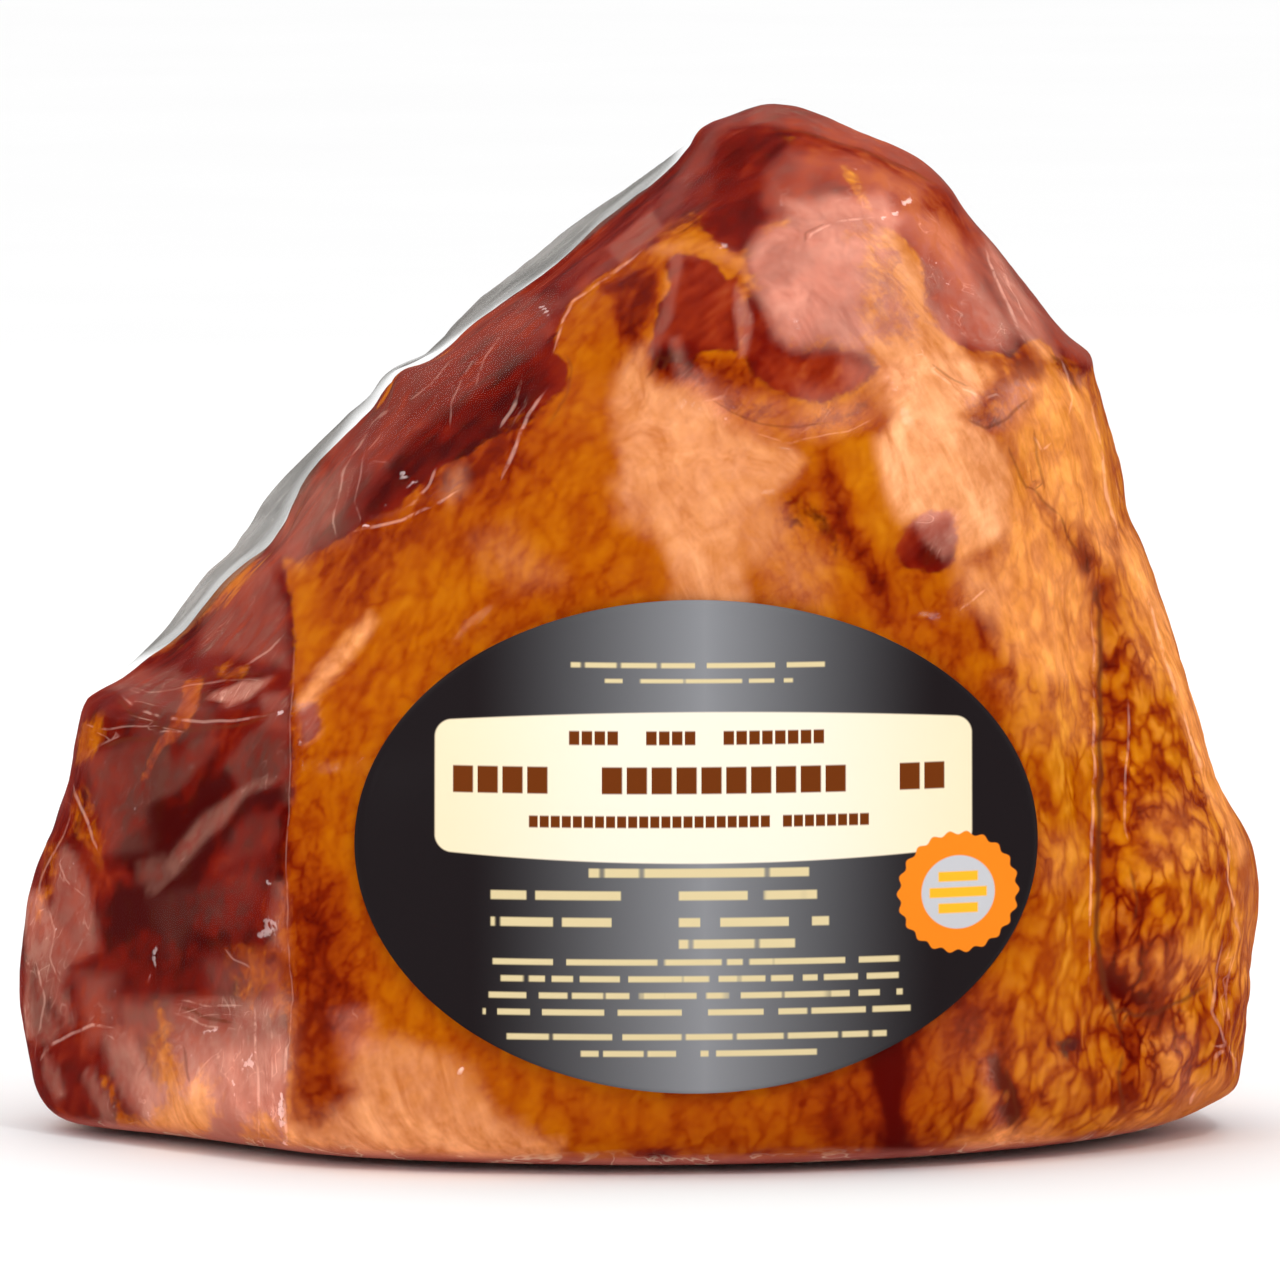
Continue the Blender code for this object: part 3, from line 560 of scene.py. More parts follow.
# How much darker and smokier a place is, or with a minus how much more honey-yellow
DEPTH_REGIONS = (
    ([(130, 690), (280, 680), (282, 960), (180, 980), (140, 940), (120, 860)], 26, 0.15),
    ([(404, 555), (450, 545), (472, 600), (430, 640), (400, 610)], 14, -0.09),
    ([(510, 520), (570, 520), (575, 562), (530, 566)], 12, -0.1),
    ([(690, 352), (745, 356), (772, 394), (740, 402), (690, 392)], 8, 0.16),
    ([(790, 112), (860, 126), (930, 160), (975, 215), (990, 262), (958, 250), (920, 205), (860, 176),
      (790, 152)], 9, -0.34),
    ([(905, 205), (950, 215), (982, 262), (970, 282), (930, 240)], 9, -0.2),
    ([(790, 360), (850, 355), (872, 372), (850, 396), (800, 398)], 8, -0.26),
    ([(950, 362), (1045, 364), (1040, 402), (960, 396)], 9, 0.11),
    ([(840, 405), (886, 405), (880, 440), (845, 440)], 8, 0.12),
    ([(440, 524), (482, 524), (480, 558), (446, 558)], 10, 0.1),
    ([(296, 572), (400, 562), (400, 640), (300, 652)], 12, -0.12),
    ([(1085, 522), (1120, 522), (1126, 566), (1090, 566)], 8, 0.2),
    ([(1050, 534), (1086, 534), (1086, 562), (1054, 562)], 8, -0.14),
    ([(970, 608), (1004, 608), (1004, 648), (974, 648)], 9, 0.14),
    ([(974, 652), (1008, 656), (1008, 690), (976, 690)], 9, -0.12),
    ([(1010, 332), (1048, 336), (1044, 366), (1012, 364)], 8, 0.16),
    ([(894, 1040), (930, 1034), (926, 1090), (900, 1096)], 9, 0.18),
    ([(1030, 1060), (1075, 1060), (1075, 1100), (1030, 1100)], 12, 0.08),
    ([(1120, 900), (1160, 900), (1160, 1080), (1120, 1080)], 12, 0.1),
    ([(915, 1068), (966, 1068), (972, 1172), (920, 1172)], 9, 0.1),
    ([(800, 570), (850, 560), (870, 600), (830, 610)], 10, -0.1),
    ([(120, 930), (165, 940), (170, 1010), (120, 1010)], 10, -0.08),
    ([(440, 450), (500, 430), (534, 418), (526, 460), (490, 492), (440, 505), (400, 525)], 16, 0.28),
    ([(290, 850), (312, 860), (330, 900), (345, 940), (352, 990), (342, 1035), (325, 1060), (345, 1100),
      (342, 1150), (300, 1165), (290, 1000)], 18, 0.3),
    ([(780, 1080), (860, 1062), (905, 1010), (960, 962), (992, 990), (960, 1040), (905, 1064), (904, 1100),
      (915, 1170), (870, 1185), (830, 1145)], 18, 0.22),
    ([(866, 1040), (895, 1045), (905, 1100), (914, 1180), (878, 1184), (886, 1110)], 8, 0.55),
    ([(636, 1160), (668, 1148), (690, 1190), (636, 1190)], 9, 0.5),
    ([(995, 1058), (1010, 1075), (1022, 1110), (1031, 1155), (1015, 1158), (1004, 1110)], 6, 0.5),
    ([(1050, 1040), (1080, 1034), (1087, 1050), (1065, 1063)], 6, 0.4),
    ([(880, 562), (905, 572), (960, 580), (982, 640), (960, 690), (900, 640), (868, 592)], 16, 0.06),
    ([(826, 452), (842, 470), (852, 510), (880, 560), (900, 600), (888, 612), (860, 572), (838, 530),
      (826, 490)], 5, 0.22),
    ([(1040, 470), (1060, 500), (1088, 545), (1104, 590), (1098, 600), (1076, 560), (1050, 520),
      (1034, 490)], 6, 0.2),
    ([(985, 422), (1012, 410), (1040, 388), (1046, 396), (1020, 422), (990, 432)], 5, 0.3),
    ([(833, 498), (850, 530), (880, 580), (902, 622), (880, 624), (850, 582), (828, 540)], 9, 0.12),
    ([(785, 490), (815, 486), (830, 510), (850, 560), (835, 562), (810, 524), (786, 532), (772, 520)], 8,
      0.0),
    ([(1084, 556), (1100, 590), (1118, 620), (1128, 700), (1128, 780), (1125, 850), (1136, 900),
      (1141, 940), (1115, 950), (1104, 900), (1100, 800), (1101, 700), (1097, 620)], 7, 0.09),
    ([(1100, 960), (1140, 960), (1150, 1000), (1130, 1016), (1105, 1000)], 9, 0.2),
    ([(1180, 900), (1215, 860), (1235, 900), (1220, 950), (1180, 950)], 16, -0.05),
    ([(1030, 700), (1100, 690), (1098, 980), (1040, 990), (1050, 860)], 22, -0.17),
    ([(1130, 560), (1150, 600), (1170, 680), (1140, 720), (1120, 640)], 12, -0.02),
    ([(940, 650), (975, 640), (1010, 690), (1030, 760), (1040, 860), (1034, 860), (1010, 760), (970, 690)],
      14, 0.12),
    ([(600, 520), (640, 520), (660, 560), (650, 590), (610, 570), (580, 560)], 14, -0.02),
    ([(470, 580), (560, 560), (620, 590), (560, 610), (480, 640)], 18, 0.04),
    ([(1000, 1150), (1120, 1050), (1150, 1060), (1150, 1120), (1040, 1160)], 22, -0.02),
    ([(1110, 560), (1180, 700), (1250, 860), (1250, 960), (1130, 960), (1106, 760)], 20, -0.04),
    ([(1110, 900), (1180, 900), (1200, 1000), (1180, 1100), (1120, 1110), (1108, 1000)], 18, 0.09),
    ([(1050, 780), (1064, 860), (1010, 940), (960, 980), (950, 940), (1010, 880), (1040, 820)], 14, 0.1),
    ([(1000, 1030), (1080, 980), (1090, 1040), (1060, 1100), (1020, 1090)], 12, -0.06),
    ([(960, 1000), (1010, 1000), (1020, 1050), (980, 1070), (950, 1050)], 14, 0.14),
    ([(880, 640), (1000, 640), (1010, 700), (940, 700)], 14, -0.02),
    ([(300, 540), (380, 512), (404, 536), (384, 600), (330, 640)], 14, 0.22),
    ([(603, 282), (622, 270), (640, 262), (654, 275), (650, 300), (643, 320), (634, 350), (618, 338),
      (610, 310)], 6, 0.38),
    ([(766, 170), (790, 150), (830, 150), (870, 160), (930, 180), (925, 200), (880, 206), (840, 208),
      (800, 202), (776, 216), (764, 200)], 10, -0.24),
    ([(886, 210), (915, 204), (940, 216), (962, 250), (986, 290), (1010, 320), (1020, 346), (990, 346),
      (955, 332), (935, 290), (915, 245)], 9, -0.3),
    ([(300, 560), (360, 530), (460, 500), (540, 440), (575, 320), (600, 300), (616, 330), (608, 400),
      (614, 490), (560, 560), (460, 620), (380, 600), (310, 640)], 25, -0.01),
    ([(834, 430), (862, 420), (880, 470), (900, 520), (902, 552), (860, 522), (836, 470)], 8, -0.2),
    ([(1090, 400), (1112, 430), (1120, 520), (1104, 520), (1098, 450)], 6, -0.2),
    ([(645, 240), (664, 212), (712, 200), (704, 226), (745, 250), (766, 286), (735, 264), (700, 246)], 7,
      -0.1),
    ([(296, 760), (350, 750), (350, 860), (320, 870), (300, 840)], 20, 0.02),
    ([(700, 1110), (830, 1112), (820, 1150), (700, 1170)], 20, 0.12),
    ([(222, 764), (205, 792), (160, 812), (115, 846), (106, 868), (130, 874), (165, 850), (205, 812),
      (226, 790)], 6, 0.3),
    ([(284, 790), (240, 810), (214, 850), (190, 880), (150, 895), (130, 930), (98, 955), (94, 908),
      (120, 885), (160, 890), (200, 845), (240, 802), (272, 788)], 7, 0.32),
    ([(95, 905), (150, 888), (168, 930), (160, 1000), (120, 1004), (90, 965)], 12, 0.16),
    ([(495, 360), (530, 345), (545, 372), (520, 405), (480, 425), (450, 438), (462, 400)], 8, 0.2),
    ([(402, 440), (430, 425), (452, 440), (425, 465), (390, 500), (358, 516), (366, 484)], 8, 0.3),
    ([(672, 160), (740, 118), (760, 130), (752, 180), (760, 215), (740, 245), (700, 222), (668, 225),
      (655, 205)], 9, 0.1),
    ([(745, 126), (800, 122), (860, 141), (920, 167), (952, 187), (977, 232), (986, 280), (1002, 300),
      (1022, 335), (1032, 352), (1008, 337), (980, 305), (962, 252), (936, 202), (900, 182), (850, 162),
      (800, 142), (750, 142)], 6, 0.05),
    ([(664, 262), (690, 250), (715, 262), (740, 300), (735, 352), (700, 352), (668, 340)], 8, -0.2),
    ([(745, 310), (770, 318), (805, 350), (860, 350), (880, 372), (850, 396), (780, 390), (748, 360)], 8,
      -0.14),
    ([(280, 700), (289, 720), (287, 860), (276, 900), (270, 860), (280, 800)], 5, 0.12),
    ([(646, 350), (668, 344), (690, 366), (700, 380), (668, 378), (650, 372)], 6, 0.4),
)

# Where the lumps of fat stand out more, or less: in colour, in relief, and in their painted highlights and
# shade
LUMP_REGIONS = (
    ([(1000, 365), (1100, 380), (1150, 560), (1240, 820), (1262, 1060), (1100, 1140), (940, 1140),
      (1040, 920), (1000, 640), (1010, 560)], 30, 0.85),
    ([(1096, 640), (1150, 640), (1230, 820), (1262, 1060), (1120, 1120), (1100, 900)], 16, 1.2),
    ([(606, 360), (700, 380), (800, 450), (760, 620), (660, 620), (610, 480)], 16, 0.12),
    ([(740, 210), (900, 205), (960, 350), (1010, 450), (1000, 540), (900, 520), (860, 360), (760, 320)], 18,
      0.12),
    ([(330, 1040), (480, 1060), (550, 1180), (340, 1180)], 16, 0.25),
)

# Painted glints on small folds: an oval of middle, half width, half height and turn, and how bright
PAINTED_GLINTS = (
    ((245, 1066, 5, 15, -18), 0.55),
    ((230, 1090, 4, 10, -10), 0.5),
    ((212, 1032, 15, 4, -6), 0.5),
    ((268, 922, 8, 8, 0), 0.5),
    ((262, 934, 10, 4, 0), 0.55),
    ((264, 880, 5, 5, 0), 0.6),
    ((149, 950, 3, 18, 4), 0.6),
    ((148, 975, 3, 6, 0), 0.5),
    ((280, 1110, 3, 26, 4), 0.8),
    ((285, 1152, 4, 5, 0), 1.0),
    ((258, 1146, 3, 6, 0), 0.9),
    ((277, 712, 8, 3, 16), 0.8),
    ((400, 474, 7, 3, -40), 0.7),
    ((410, 482, 7, 2.5, 30), 0.6),
    ((384, 500, 3, 7, 30), 0.4),
    ((541, 306, 6, 2.4, -30), 0.7),
    ((362, 526, 5, 2, 0), 0.9),
    ((886, 212, 4, 3, 40), 0.7),
    ((898, 210, 8, 2, 0), 0.8),
    ((911, 199, 6, 2.6, 30), 1.0),
    ((464, 1068, 4, 2, 40), 0.9),
    ((473, 1123, 3, 2, 10), 0.9),
    ((300, 742, 3, 3, 0), 0.8),
    ((720, 242, 6, 2.4, 0), 0.6),
    ((84, 1010, 8, 3, -40), 0.35),
    ((110, 990, 8, 3, -30), 0.35),
)

# Painted highlights: thin pale lines where the film is folded or gathered, with their strength
FOLD_HIGHLIGHTS = (
    (CREASE[1:], 0.3),
    ([(284, 1036), (281, 1090), (285, 1156)], 0.9),
    ([(252, 1000), (252, 1060), (258, 1150)], 0.7),
    ([(268, 1010), (268, 1070), (272, 1150)], 0.45),
    ([(107, 679), (130, 702), (160, 716), (200, 720), (240, 716), (282, 708)], 0.7),
    ([(75, 722), (100, 728), (130, 724), (170, 722)], 0.5),
    ([(75, 758), (100, 742), (120, 732), (170, 730), (221, 728)], 0.5),
    ([(119, 679), (150, 690), (180, 684), (221, 676), (282, 678)], 0.35),
    ([(284, 630), (266, 648), (240, 664)], 0.6),
    ([(66, 780), (80, 812), (97, 858)], 0.8),
    ([(52, 850), (62, 880), (84, 900)], 0.4),
    ([(28, 916), (38, 876), (58, 838), (70, 800)], 0.5),
    ([(36, 1066), (44, 1048), (66, 1034), (90, 1026), (116, 1028)], 0.85),
    ([(30, 950), (40, 1000), (34, 1040), (36, 1066)], 0.5),
    ([(40, 890), (50, 930), (44, 960), (60, 990)], 0.4),
    ([(170, 1000), (200, 1006), (246, 1006)], 0.5),
    ([(165, 1012), (200, 1026), (236, 1030)], 0.5),
    ([(220, 946), (230, 960), (250, 970)], 0.4),
    ([(521, 375), (512, 400), (494, 429)], 0.8),
    ([(545, 384), (526, 412), (512, 450), (497, 484)], 0.9),
    ([(345, 530), (362, 527), (380, 524), (398, 520), (422, 507), (440, 500), (470, 482)], 0.8),
    ([(434, 462), (426, 484), (402, 512)], 0.7),
    ([(452, 352), (430, 380), (400, 400)], 0.4),
    ([(480, 345), (462, 372), (450, 400), (446, 430)], 0.4),
    ([(500, 330), (484, 352), (470, 390)], 0.35),
    ([(400, 396), (370, 420), (340, 470), (330, 520), (336, 545)], 0.5),
    ([(384, 420), (360, 452), (352, 500), (362, 530)], 0.35),
    ([(344, 452), (390, 462)], 0.35),
    ([(650, 240), (611, 270), (571, 297), (561, 318), (548, 362)], 0.7),
    ([(806, 238), (812, 228), (840, 218), (884, 214)], 0.6),
    ([(938, 388), (926, 352), (930, 366), (950, 380), (975, 390), (985, 398), (1000, 392), (1012, 400)],
      0.6),
    ([(741, 430), (790, 442), (850, 430), (884, 412)], 0.35),
    ([(986, 236), (1000, 280), (1016, 310), (1032, 345)], 0.8),
    ([(1000, 250), (1016, 290), (1040, 330)], 0.5),
    ([(1064, 352), (1074, 372), (1076, 396), (1070, 420)], 0.5),
    ([(1058, 440), (1046, 450), (1036, 432)], 0.5),
    ([(1092, 590), (1097, 650), (1097, 760), (1093, 860), (1092, 950), (1094, 1000)], 0.7),
    ([(1131, 690), (1130, 740), (1124, 800), (1130, 850)], 0.6),
    ([(1135, 556), (1158, 620), (1176, 680), (1194, 740), (1222, 812)], 0.75),
    ([(1150, 592), (1172, 650), (1192, 712), (1216, 770)], 0.45),
    ([(1226, 820), (1234, 850), (1232, 880), (1240, 910), (1244, 950)], 0.6),
    ([(1190, 1116), (1200, 1090), (1220, 1056), (1236, 1046)], 0.75),
    ([(1226, 930), (1222, 970), (1214, 1010), (1226, 1040), (1240, 1060), (1236, 1086)], 0.6),
    ([(1240, 940), (1230, 990), (1234, 1030)], 0.4),
    ([(1124, 545), (1112, 500), (1104, 440), (1092, 390)], 0.7),
    ([(1118, 530), (1124, 500), (1110, 430), (1096, 380)], 0.3),
    ([(960, 610), (975, 600), (990, 588)], 0.5),
)

# Thin dark lines: muscle seams and painted shade in the folds, with their strength
DARK_LINES = (
    ([(560, 346), (571, 366), (562, 396), (537, 436)], 0.5),
    ([(130, 722), (180, 729), (240, 722), (284, 702)], 0.6),
    ([(112, 690), (130, 712), (165, 724)], 0.6),
    ([(95, 748), (120, 738), (160, 737)], 0.7),
    ([(150, 668), (190, 676), (240, 670), (270, 672)], 0.4),
    ([(170, 1006), (200, 1018), (232, 1024)], 0.7),
    ([(1090, 560), (1102, 600), (1104, 700), (1102, 780), (1100, 860), (1099, 940), (1108, 990),
      (1122, 1030), (1130, 1060)], 1.0),
    ([(1110, 1006), (1140, 1018), (1160, 1014), (1190, 1000), (1222, 978)], 0.8),
    ([(1060, 510), (1076, 540), (1090, 560)], 0.6),
    ([(1030, 480), (1046, 500), (1064, 516)], 0.5),
    ([(1010, 440), (1024, 470), (1036, 500)], 0.5),
    ([(965, 415), (990, 426), (1012, 416), (1036, 392)], 0.6),
    ([(1036, 424), (1040, 444), (1044, 470), (1050, 500)], 0.5),
    ([(1050, 350), (1066, 358), (1076, 372), (1086, 396)], 0.8),
    ([(700, 392), (730, 412), (760, 424), (800, 428), (850, 418)], 0.4),
    ([(745, 126), (800, 124), (860, 142), (920, 168), (950, 188)], 0.5),
    ([(804, 240), (806, 226), (830, 218)], 0.4),
    ([(930, 360), (950, 374), (976, 386)], 0.4),
    ([(656, 350), (650, 364), (644, 378)], 0.8),
    ([(672, 345), (664, 360), (658, 372)], 0.6),
    ([(1130, 860), (1140, 900), (1136, 930)], 0.6),
    ([(1126, 1046), (1122, 1080), (1128, 1120)], 0.7),
    ([(1180, 1000), (1176, 1030), (1182, 1060)], 0.5),
    ([(1006, 1060), (1014, 1090), (1026, 1140)], 0.6),
    ([(150, 1042), (140, 1066), (130, 1080)], 0.3),
    ([(178, 1040), (182, 1070), (188, 1086)], 0.5),
)
# How each kind of region's edge is softened besides
EDGE_SOFTNESS = {"lean": 1.2, "pale": 1.7, "veil": 1.0, "lumps": 1.0, "depth": 1.6}


def front_paint(canvas, layers):
    """Lays what the photo shows on the points that its camera sees."""
    tables = (("lean", LEAN_REGIONS), ("lean", RIND_REGIONS), ("pale", PAINTED_SHINE_REGIONS), ("veil", SLACK_AND_SHEEN_REGIONS),
              ("lumps", LUMP_REGIONS))
    for layer, table in tables:
        for outline, soft, amount in table:
            lay(layers[layer], canvas.region(outline, soft * EDGE_SOFTNESS[layer]), amount)
    for outline, soft, amount in DEPTH_REGIONS:
        layers["depth"] += amount * canvas.region(outline, soft * EDGE_SOFTNESS["depth"])
    for spot, amount in PAINTED_GLINTS:
        layers["glint"] = np.maximum(layers["glint"], amount * canvas.spot(*spot))


def line_layers(canvas, lines):
    """How far each place is to the side of its nearest line, and that line's strength there."""
    side, strength = np.zeros(canvas.x.shape), np.zeros(canvas.x.shape)
    for points, amount in lines:
        offset, near = canvas.beside(points)
        near = near * amount
        side = np.where(near > strength, offset, side)
        strength = np.maximum(near, strength)
    return side, strength


# Where the front's colours end: how much the surface faces the camera there
SIDE_FADE = (-0.12, 0.05)
# Lean meat out of the camera's sight: left of here and below here, and above here, in metres
LEAN_ON_LEFT = (0.035, 0.060)
LEAN_BELOW = 0.075
LEAN_ON_TOP = (0.125, 0.145)
# Size of the patches out of sight, in metres: streaks of lean, painted shine, painted sheen veils and depth
STREAK_SIZE = 0.045
PAINTED_SHINE_SIZE = 0.035
SLACK_AND_SHEEN_SIZE = 0.024
DEPTH_SIZE = 0.03
# The foot's cut face: height up to which it shows, and how squarely it faces down
CUT_TOP = 0.0035
CUT_FACING = (0.5, 0.9)
# How far the regions' outlines and the lines wander, in pixels, and the size of that, in metres
OUTLINE_WANDER = 4
OUTLINE_WANDER_SIZE = 0.008
LINE_WANDER = 1.5
LINE_WANDER_SIZE = 0.005


def seen_from_front(normals):
    """1 where the photo's camera sees the surface, fading to 0 round the sides."""
    toward = np.array([0, -math.cos(CAMERA_ELEVATION), math.sin(CAMERA_ELEVATION)])
    return fade(normals @ toward, *SIDE_FADE)


def meat_layers(points, normals):
    """Masks for the meat's colours: those of the photo on the front, like ones by noise elsewhere."""
    weight = seen_from_front(normals)
    x, y = photo_place(points)
    away = 1 - weight
    left_lean = fade(-points[..., 0], *LEAN_ON_LEFT) * fade(LEAN_BELOW - points[..., 2], -0.01, 0.01)
    top_lean = fade(points[..., 2], *LEAN_ON_TOP)
    streaks = fade(waves(points * (1, 1, 0.55), STREAK_SIZE, 1.7, 3), 0.02, 0.20)
    layers = {
        "lean": away * np.clip(left_lean + top_lean + 0.9 * streaks, 0, 1),
        "pale": away * 0.7 * fade(waves(points, PAINTED_SHINE_SIZE, 21.3, 3), 0.10, 0.55),
        "veil": away * 0.7 * fade(waves(points, SLACK_AND_SHEEN_SIZE, 11.1, 3), 0.05, 0.40),
        "depth": away * 0.35 * waves(points, DEPTH_SIZE, 31.9, 3),
        "lumps": 0.45 + 0.3 * away,
        "glint": np.zeros(weight.shape),
        "cut": fade(CUT_TOP - points[..., 2], 0.0, 0.0025) * fade(-normals[..., 2], *CUT_FACING),
    }
    # The outlines wander a little, as the meat's edges do
    across, down = (OUTLINE_WANDER * waves(points, OUTLINE_WANDER_SIZE, shift) for shift in (3.0, 7.0))
    front_paint(Canvas(x + across, y + down, weight), layers)
    across, down = (LINE_WANDER * waves(points, LINE_WANDER_SIZE, shift) for shift in (5.0, 9.0))
    canvas = Canvas(x + across, y + down, weight)
    layers["pale_side"], layers["pale_line"] = line_layers(canvas, FOLD_HIGHLIGHTS)
    layers["dark_side"], layers["dark_line"] = line_layers(canvas, DARK_LINES)
    return layers


# Folds of the film on the front: points, half width in pixels, how far they stand out in metres
FOLDS = (
    (CREASE, 8.0, 0.0009),
    ([(108, 678), (130, 702), (186, 718), (240, 716), (284, 708)], 7.0, 0.001),
    ([(75, 722), (119, 726), (190, 722)], 7.0, 0.0007),
    ([(75, 758), (100, 742), (130, 731), (221, 728)], 7.0, 0.0008),
    ([(119, 679), (166, 685), (221, 677), (284, 678)], 7.0, 0.0007),
    ([(282, 632), (262, 650), (232, 664)], 7.0, 0.0008),
    ([(66, 780), (80, 812), (97, 858)], 7.0, 0.0006),
    ([(28, 916), (38, 876), (58, 838)], 7.0, 0.0005),
    ([(36, 1066), (44, 1048), (66, 1034), (116, 1028)], 7.0, 0.0009),
    ([(30, 960), (40, 1000), (36, 1040), (38, 1062)], 7.0, 0.0005),
    ([(252, 1000), (254, 1060), (262, 1150)], 8.0, 0.0007),
    ([(165, 1002), (200, 1006), (250, 1004)], 7.0, 0.0008),
    ([(165, 1020), (200, 1030), (240, 1034)], 7.0, 0.0007),
    ([(545, 384), (522, 420), (497, 484)], 7.0, 0.0006),
    ([(362, 527), (398, 520), (422, 507), (464, 490)], 7.0, 0.0006),
    ([(400, 396), (370, 420), (340, 470), (330, 520), (336, 545)], 7.0, 0.0007),
    ([(650, 240), (611, 270), (571, 297), (561, 318), (548, 362)], 7.0, 0.0005),
    ([(1131, 690), (1124, 780), (1130, 850)], 7.0, 0.0004),
    ([(1135, 556), (1160, 630), (1192, 740), (1222, 812)], 8.0, 0.0007),
    ([(1190, 1112), (1205, 1080), (1222, 1050), (1236, 1040)], 7.0, 0.0007),
    ([(1226, 930), (1220, 980), (1214, 1010), (1226, 1040), (1240, 1060)], 7.0, 0.0007),
    ([(1124, 545), (1112, 500), (1104, 440), (1092, 385)], 7.0, 0.0006),
    ([(986, 236), (1000, 280), (1032, 345)], 8.0, 0.0008),
)


# Height and size of the slack film's wrinkles, and of the waves all over it, in metres
SLACK_HEIGHT = 0.0004
SLACK_SIZE = 0.010
FILM_WAVE_HEIGHT = 0.00010
FILM_WAVE_SIZE = 0.008


def film_relief(points, normals, layers):
    """How far the film stands out from the plain surface, with its folds and slack wrinkles."""
    x, y = photo_place(points)
    canvas = Canvas(x, y, seen_from_front(normals))
    relief = np.zeros(x.shape)
    for line, width, height in FOLDS:
        relief += height * canvas.line(line, width)
    slack = np.clip(0.6 * layers["veil"] + 0.3 * layers["lean"], 0, 1)
    long_waves = waves(points * (1.0, 1.0, 0.45), SLACK_SIZE, 51.0, 3)
    relief += SLACK_HEIGHT * slack * (1 - np.abs(2 * long_waves))
    return relief + FILM_WAVE_HEIGHT * waves(points, FILM_WAVE_SIZE, 61.0, 2)


# Shaders

class Graph:
    """Adds nodes to one tree in short calls."""

    def __init__(self, tree):
        self.tree = tree

    def node(self, kind, **values):
        made = self.tree.nodes.new(kind)
        for key, value in values.items():
            setattr(made, key, value)
        return made

    def feed(self, socket, value):
        if isinstance(value, bpy.types.NodeSocket):
            self.tree.links.new(value, socket)
        else:
            socket.default_value = value

    def sum(self, operation, *values, clamp=False):
        made = self.node("ShaderNodeMath", operation=operation, use_clamp=clamp)
        for socket, value in zip(made.inputs, values):
            self.feed(socket, value)
        return made.outputs[0]

    def step(self, value, low, high, start=0.0, end=1.0):
        made = self.node("ShaderNodeMapRange", interpolation_type="SMOOTHSTEP")
        for socket, given in zip(made.inputs, (value, low, high, start, end)):
            self.feed(socket, given)
        return made.outputs[0]

    def total(self, *parts):
        """Sum of weighted values, given as (weight, value)."""
        added = None
        for weight, value in parts:
            if isinstance(value, bpy.types.NodeSocket):
                value = value if weight == 1.0 else self.sum("MULTIPLY", value, weight)
            else:
                value = weight * value
            added = value if added is None else self.sum("ADD", added, value)
        return added

    def centred(self, value):
        """A noise moved to spread about evenly from -1 to 1 round 0."""
        return self.sum("MULTIPLY", self.sum("SUBTRACT", value, 0.5), 2.0)

    def ramp(self, value, stops):
        made = self.node("ShaderNodeValToRGB")
        self.feed(made.inputs[0], value)
        elements = made.color_ramp.elements
        while len(elements) < len(stops):
            elements.new(0.5)
        for element, (place, shade) in zip(elements, stops):
            element.position = place
            element.color = (*colour(*shade), 1.0)
        return made.outputs[0]

    def thin_line(self, side, strength, thinnest, widest):
        """1 on a thin line, which is wider where it is stronger."""
        width = self.sum("MULTIPLY", strength, widest)
        line = self.step(self.sum("ABSOLUTE", side), thinnest, self.sum("ADD", width, thinnest), 1.0, 0.0)
        return self.sum("MULTIPLY", line, self.step(strength, 0.05, 0.25))

    def add_light(self, shade, amount, gain):
        scaled = self.node("ShaderNodeVectorMath", operation="SCALE")
        scaled.inputs[0].default_value = gain
        self.feed(scaled.inputs["Scale"], amount)
        return self.mix(1.0, shade, scaled.outputs[0], "ADD")

    def mix(self, share, first, second, blend="MIX"):
        made = self.node("ShaderNodeMix", data_type="RGBA", blend_type=blend, clamp_factor=True)
        self.feed(made.inputs[0], share)
        self.feed(made.inputs[6], first if isinstance(first, bpy.types.NodeSocket) else (*first, 1.0))
        self.feed(made.inputs[7], second if isinstance(second, bpy.types.NodeSocket) else (*second, 1.0))
        return made.outputs[2]

    def layers(self, name):
        read = self.node("ShaderNodeAttribute", attribute_name=name)
        parts = self.node("ShaderNodeSeparateColor")
        self.feed(parts.inputs[0], read.outputs["Color"])
        return (*parts.outputs, read.outputs["Alpha"])

    def tone(self, place, scale, detail=3.0, rough=0.55, warp=0.0):
        made = self.node("ShaderNodeTexNoise")
        for name, value in (("Vector", place), ("Scale", scale), ("Detail", detail), ("Roughness", rough),
                            ("Distortion", warp)):
            self.feed(made.inputs[name], value)
        return made.outputs["Fac"]

    def stretched(self, place, turn, scale):
        made = self.node("ShaderNodeMapping", vector_type="TEXTURE")
        self.feed(made.inputs["Vector"], place)
        made.inputs["Rotation"].default_value = turn
        made.inputs["Scale"].default_value = scale
        return made.outputs[0]


def colour(red, green, blue):
    """A colour from its display values of 0 to 255."""
    shares = [value / 255 for value in (red, green, blue)]
    return tuple(((s + 0.055) / 1.055) ** 2.4 if s > 10 / 255 else s / 12.92 for s in shares)


def new_group(name, inputs, outputs):
    """An empty node group with named inputs and outputs, and its graph."""
    group = bpy.data.node_groups.new(name, "ShaderNodeTree")
    for label, kind, value in inputs:
        socket = group.interface.new_socket(name=label, in_out="INPUT", socket_type=kind)
        if value is not None:
            socket.default_value = value
    for label, kind in outputs:
        group.interface.new_socket(name=label, in_out="OUTPUT", socket_type=kind)
    graph = Graph(group)
    return group, graph, graph.node("NodeGroupInput").outputs, graph.node("NodeGroupOutput").inputs


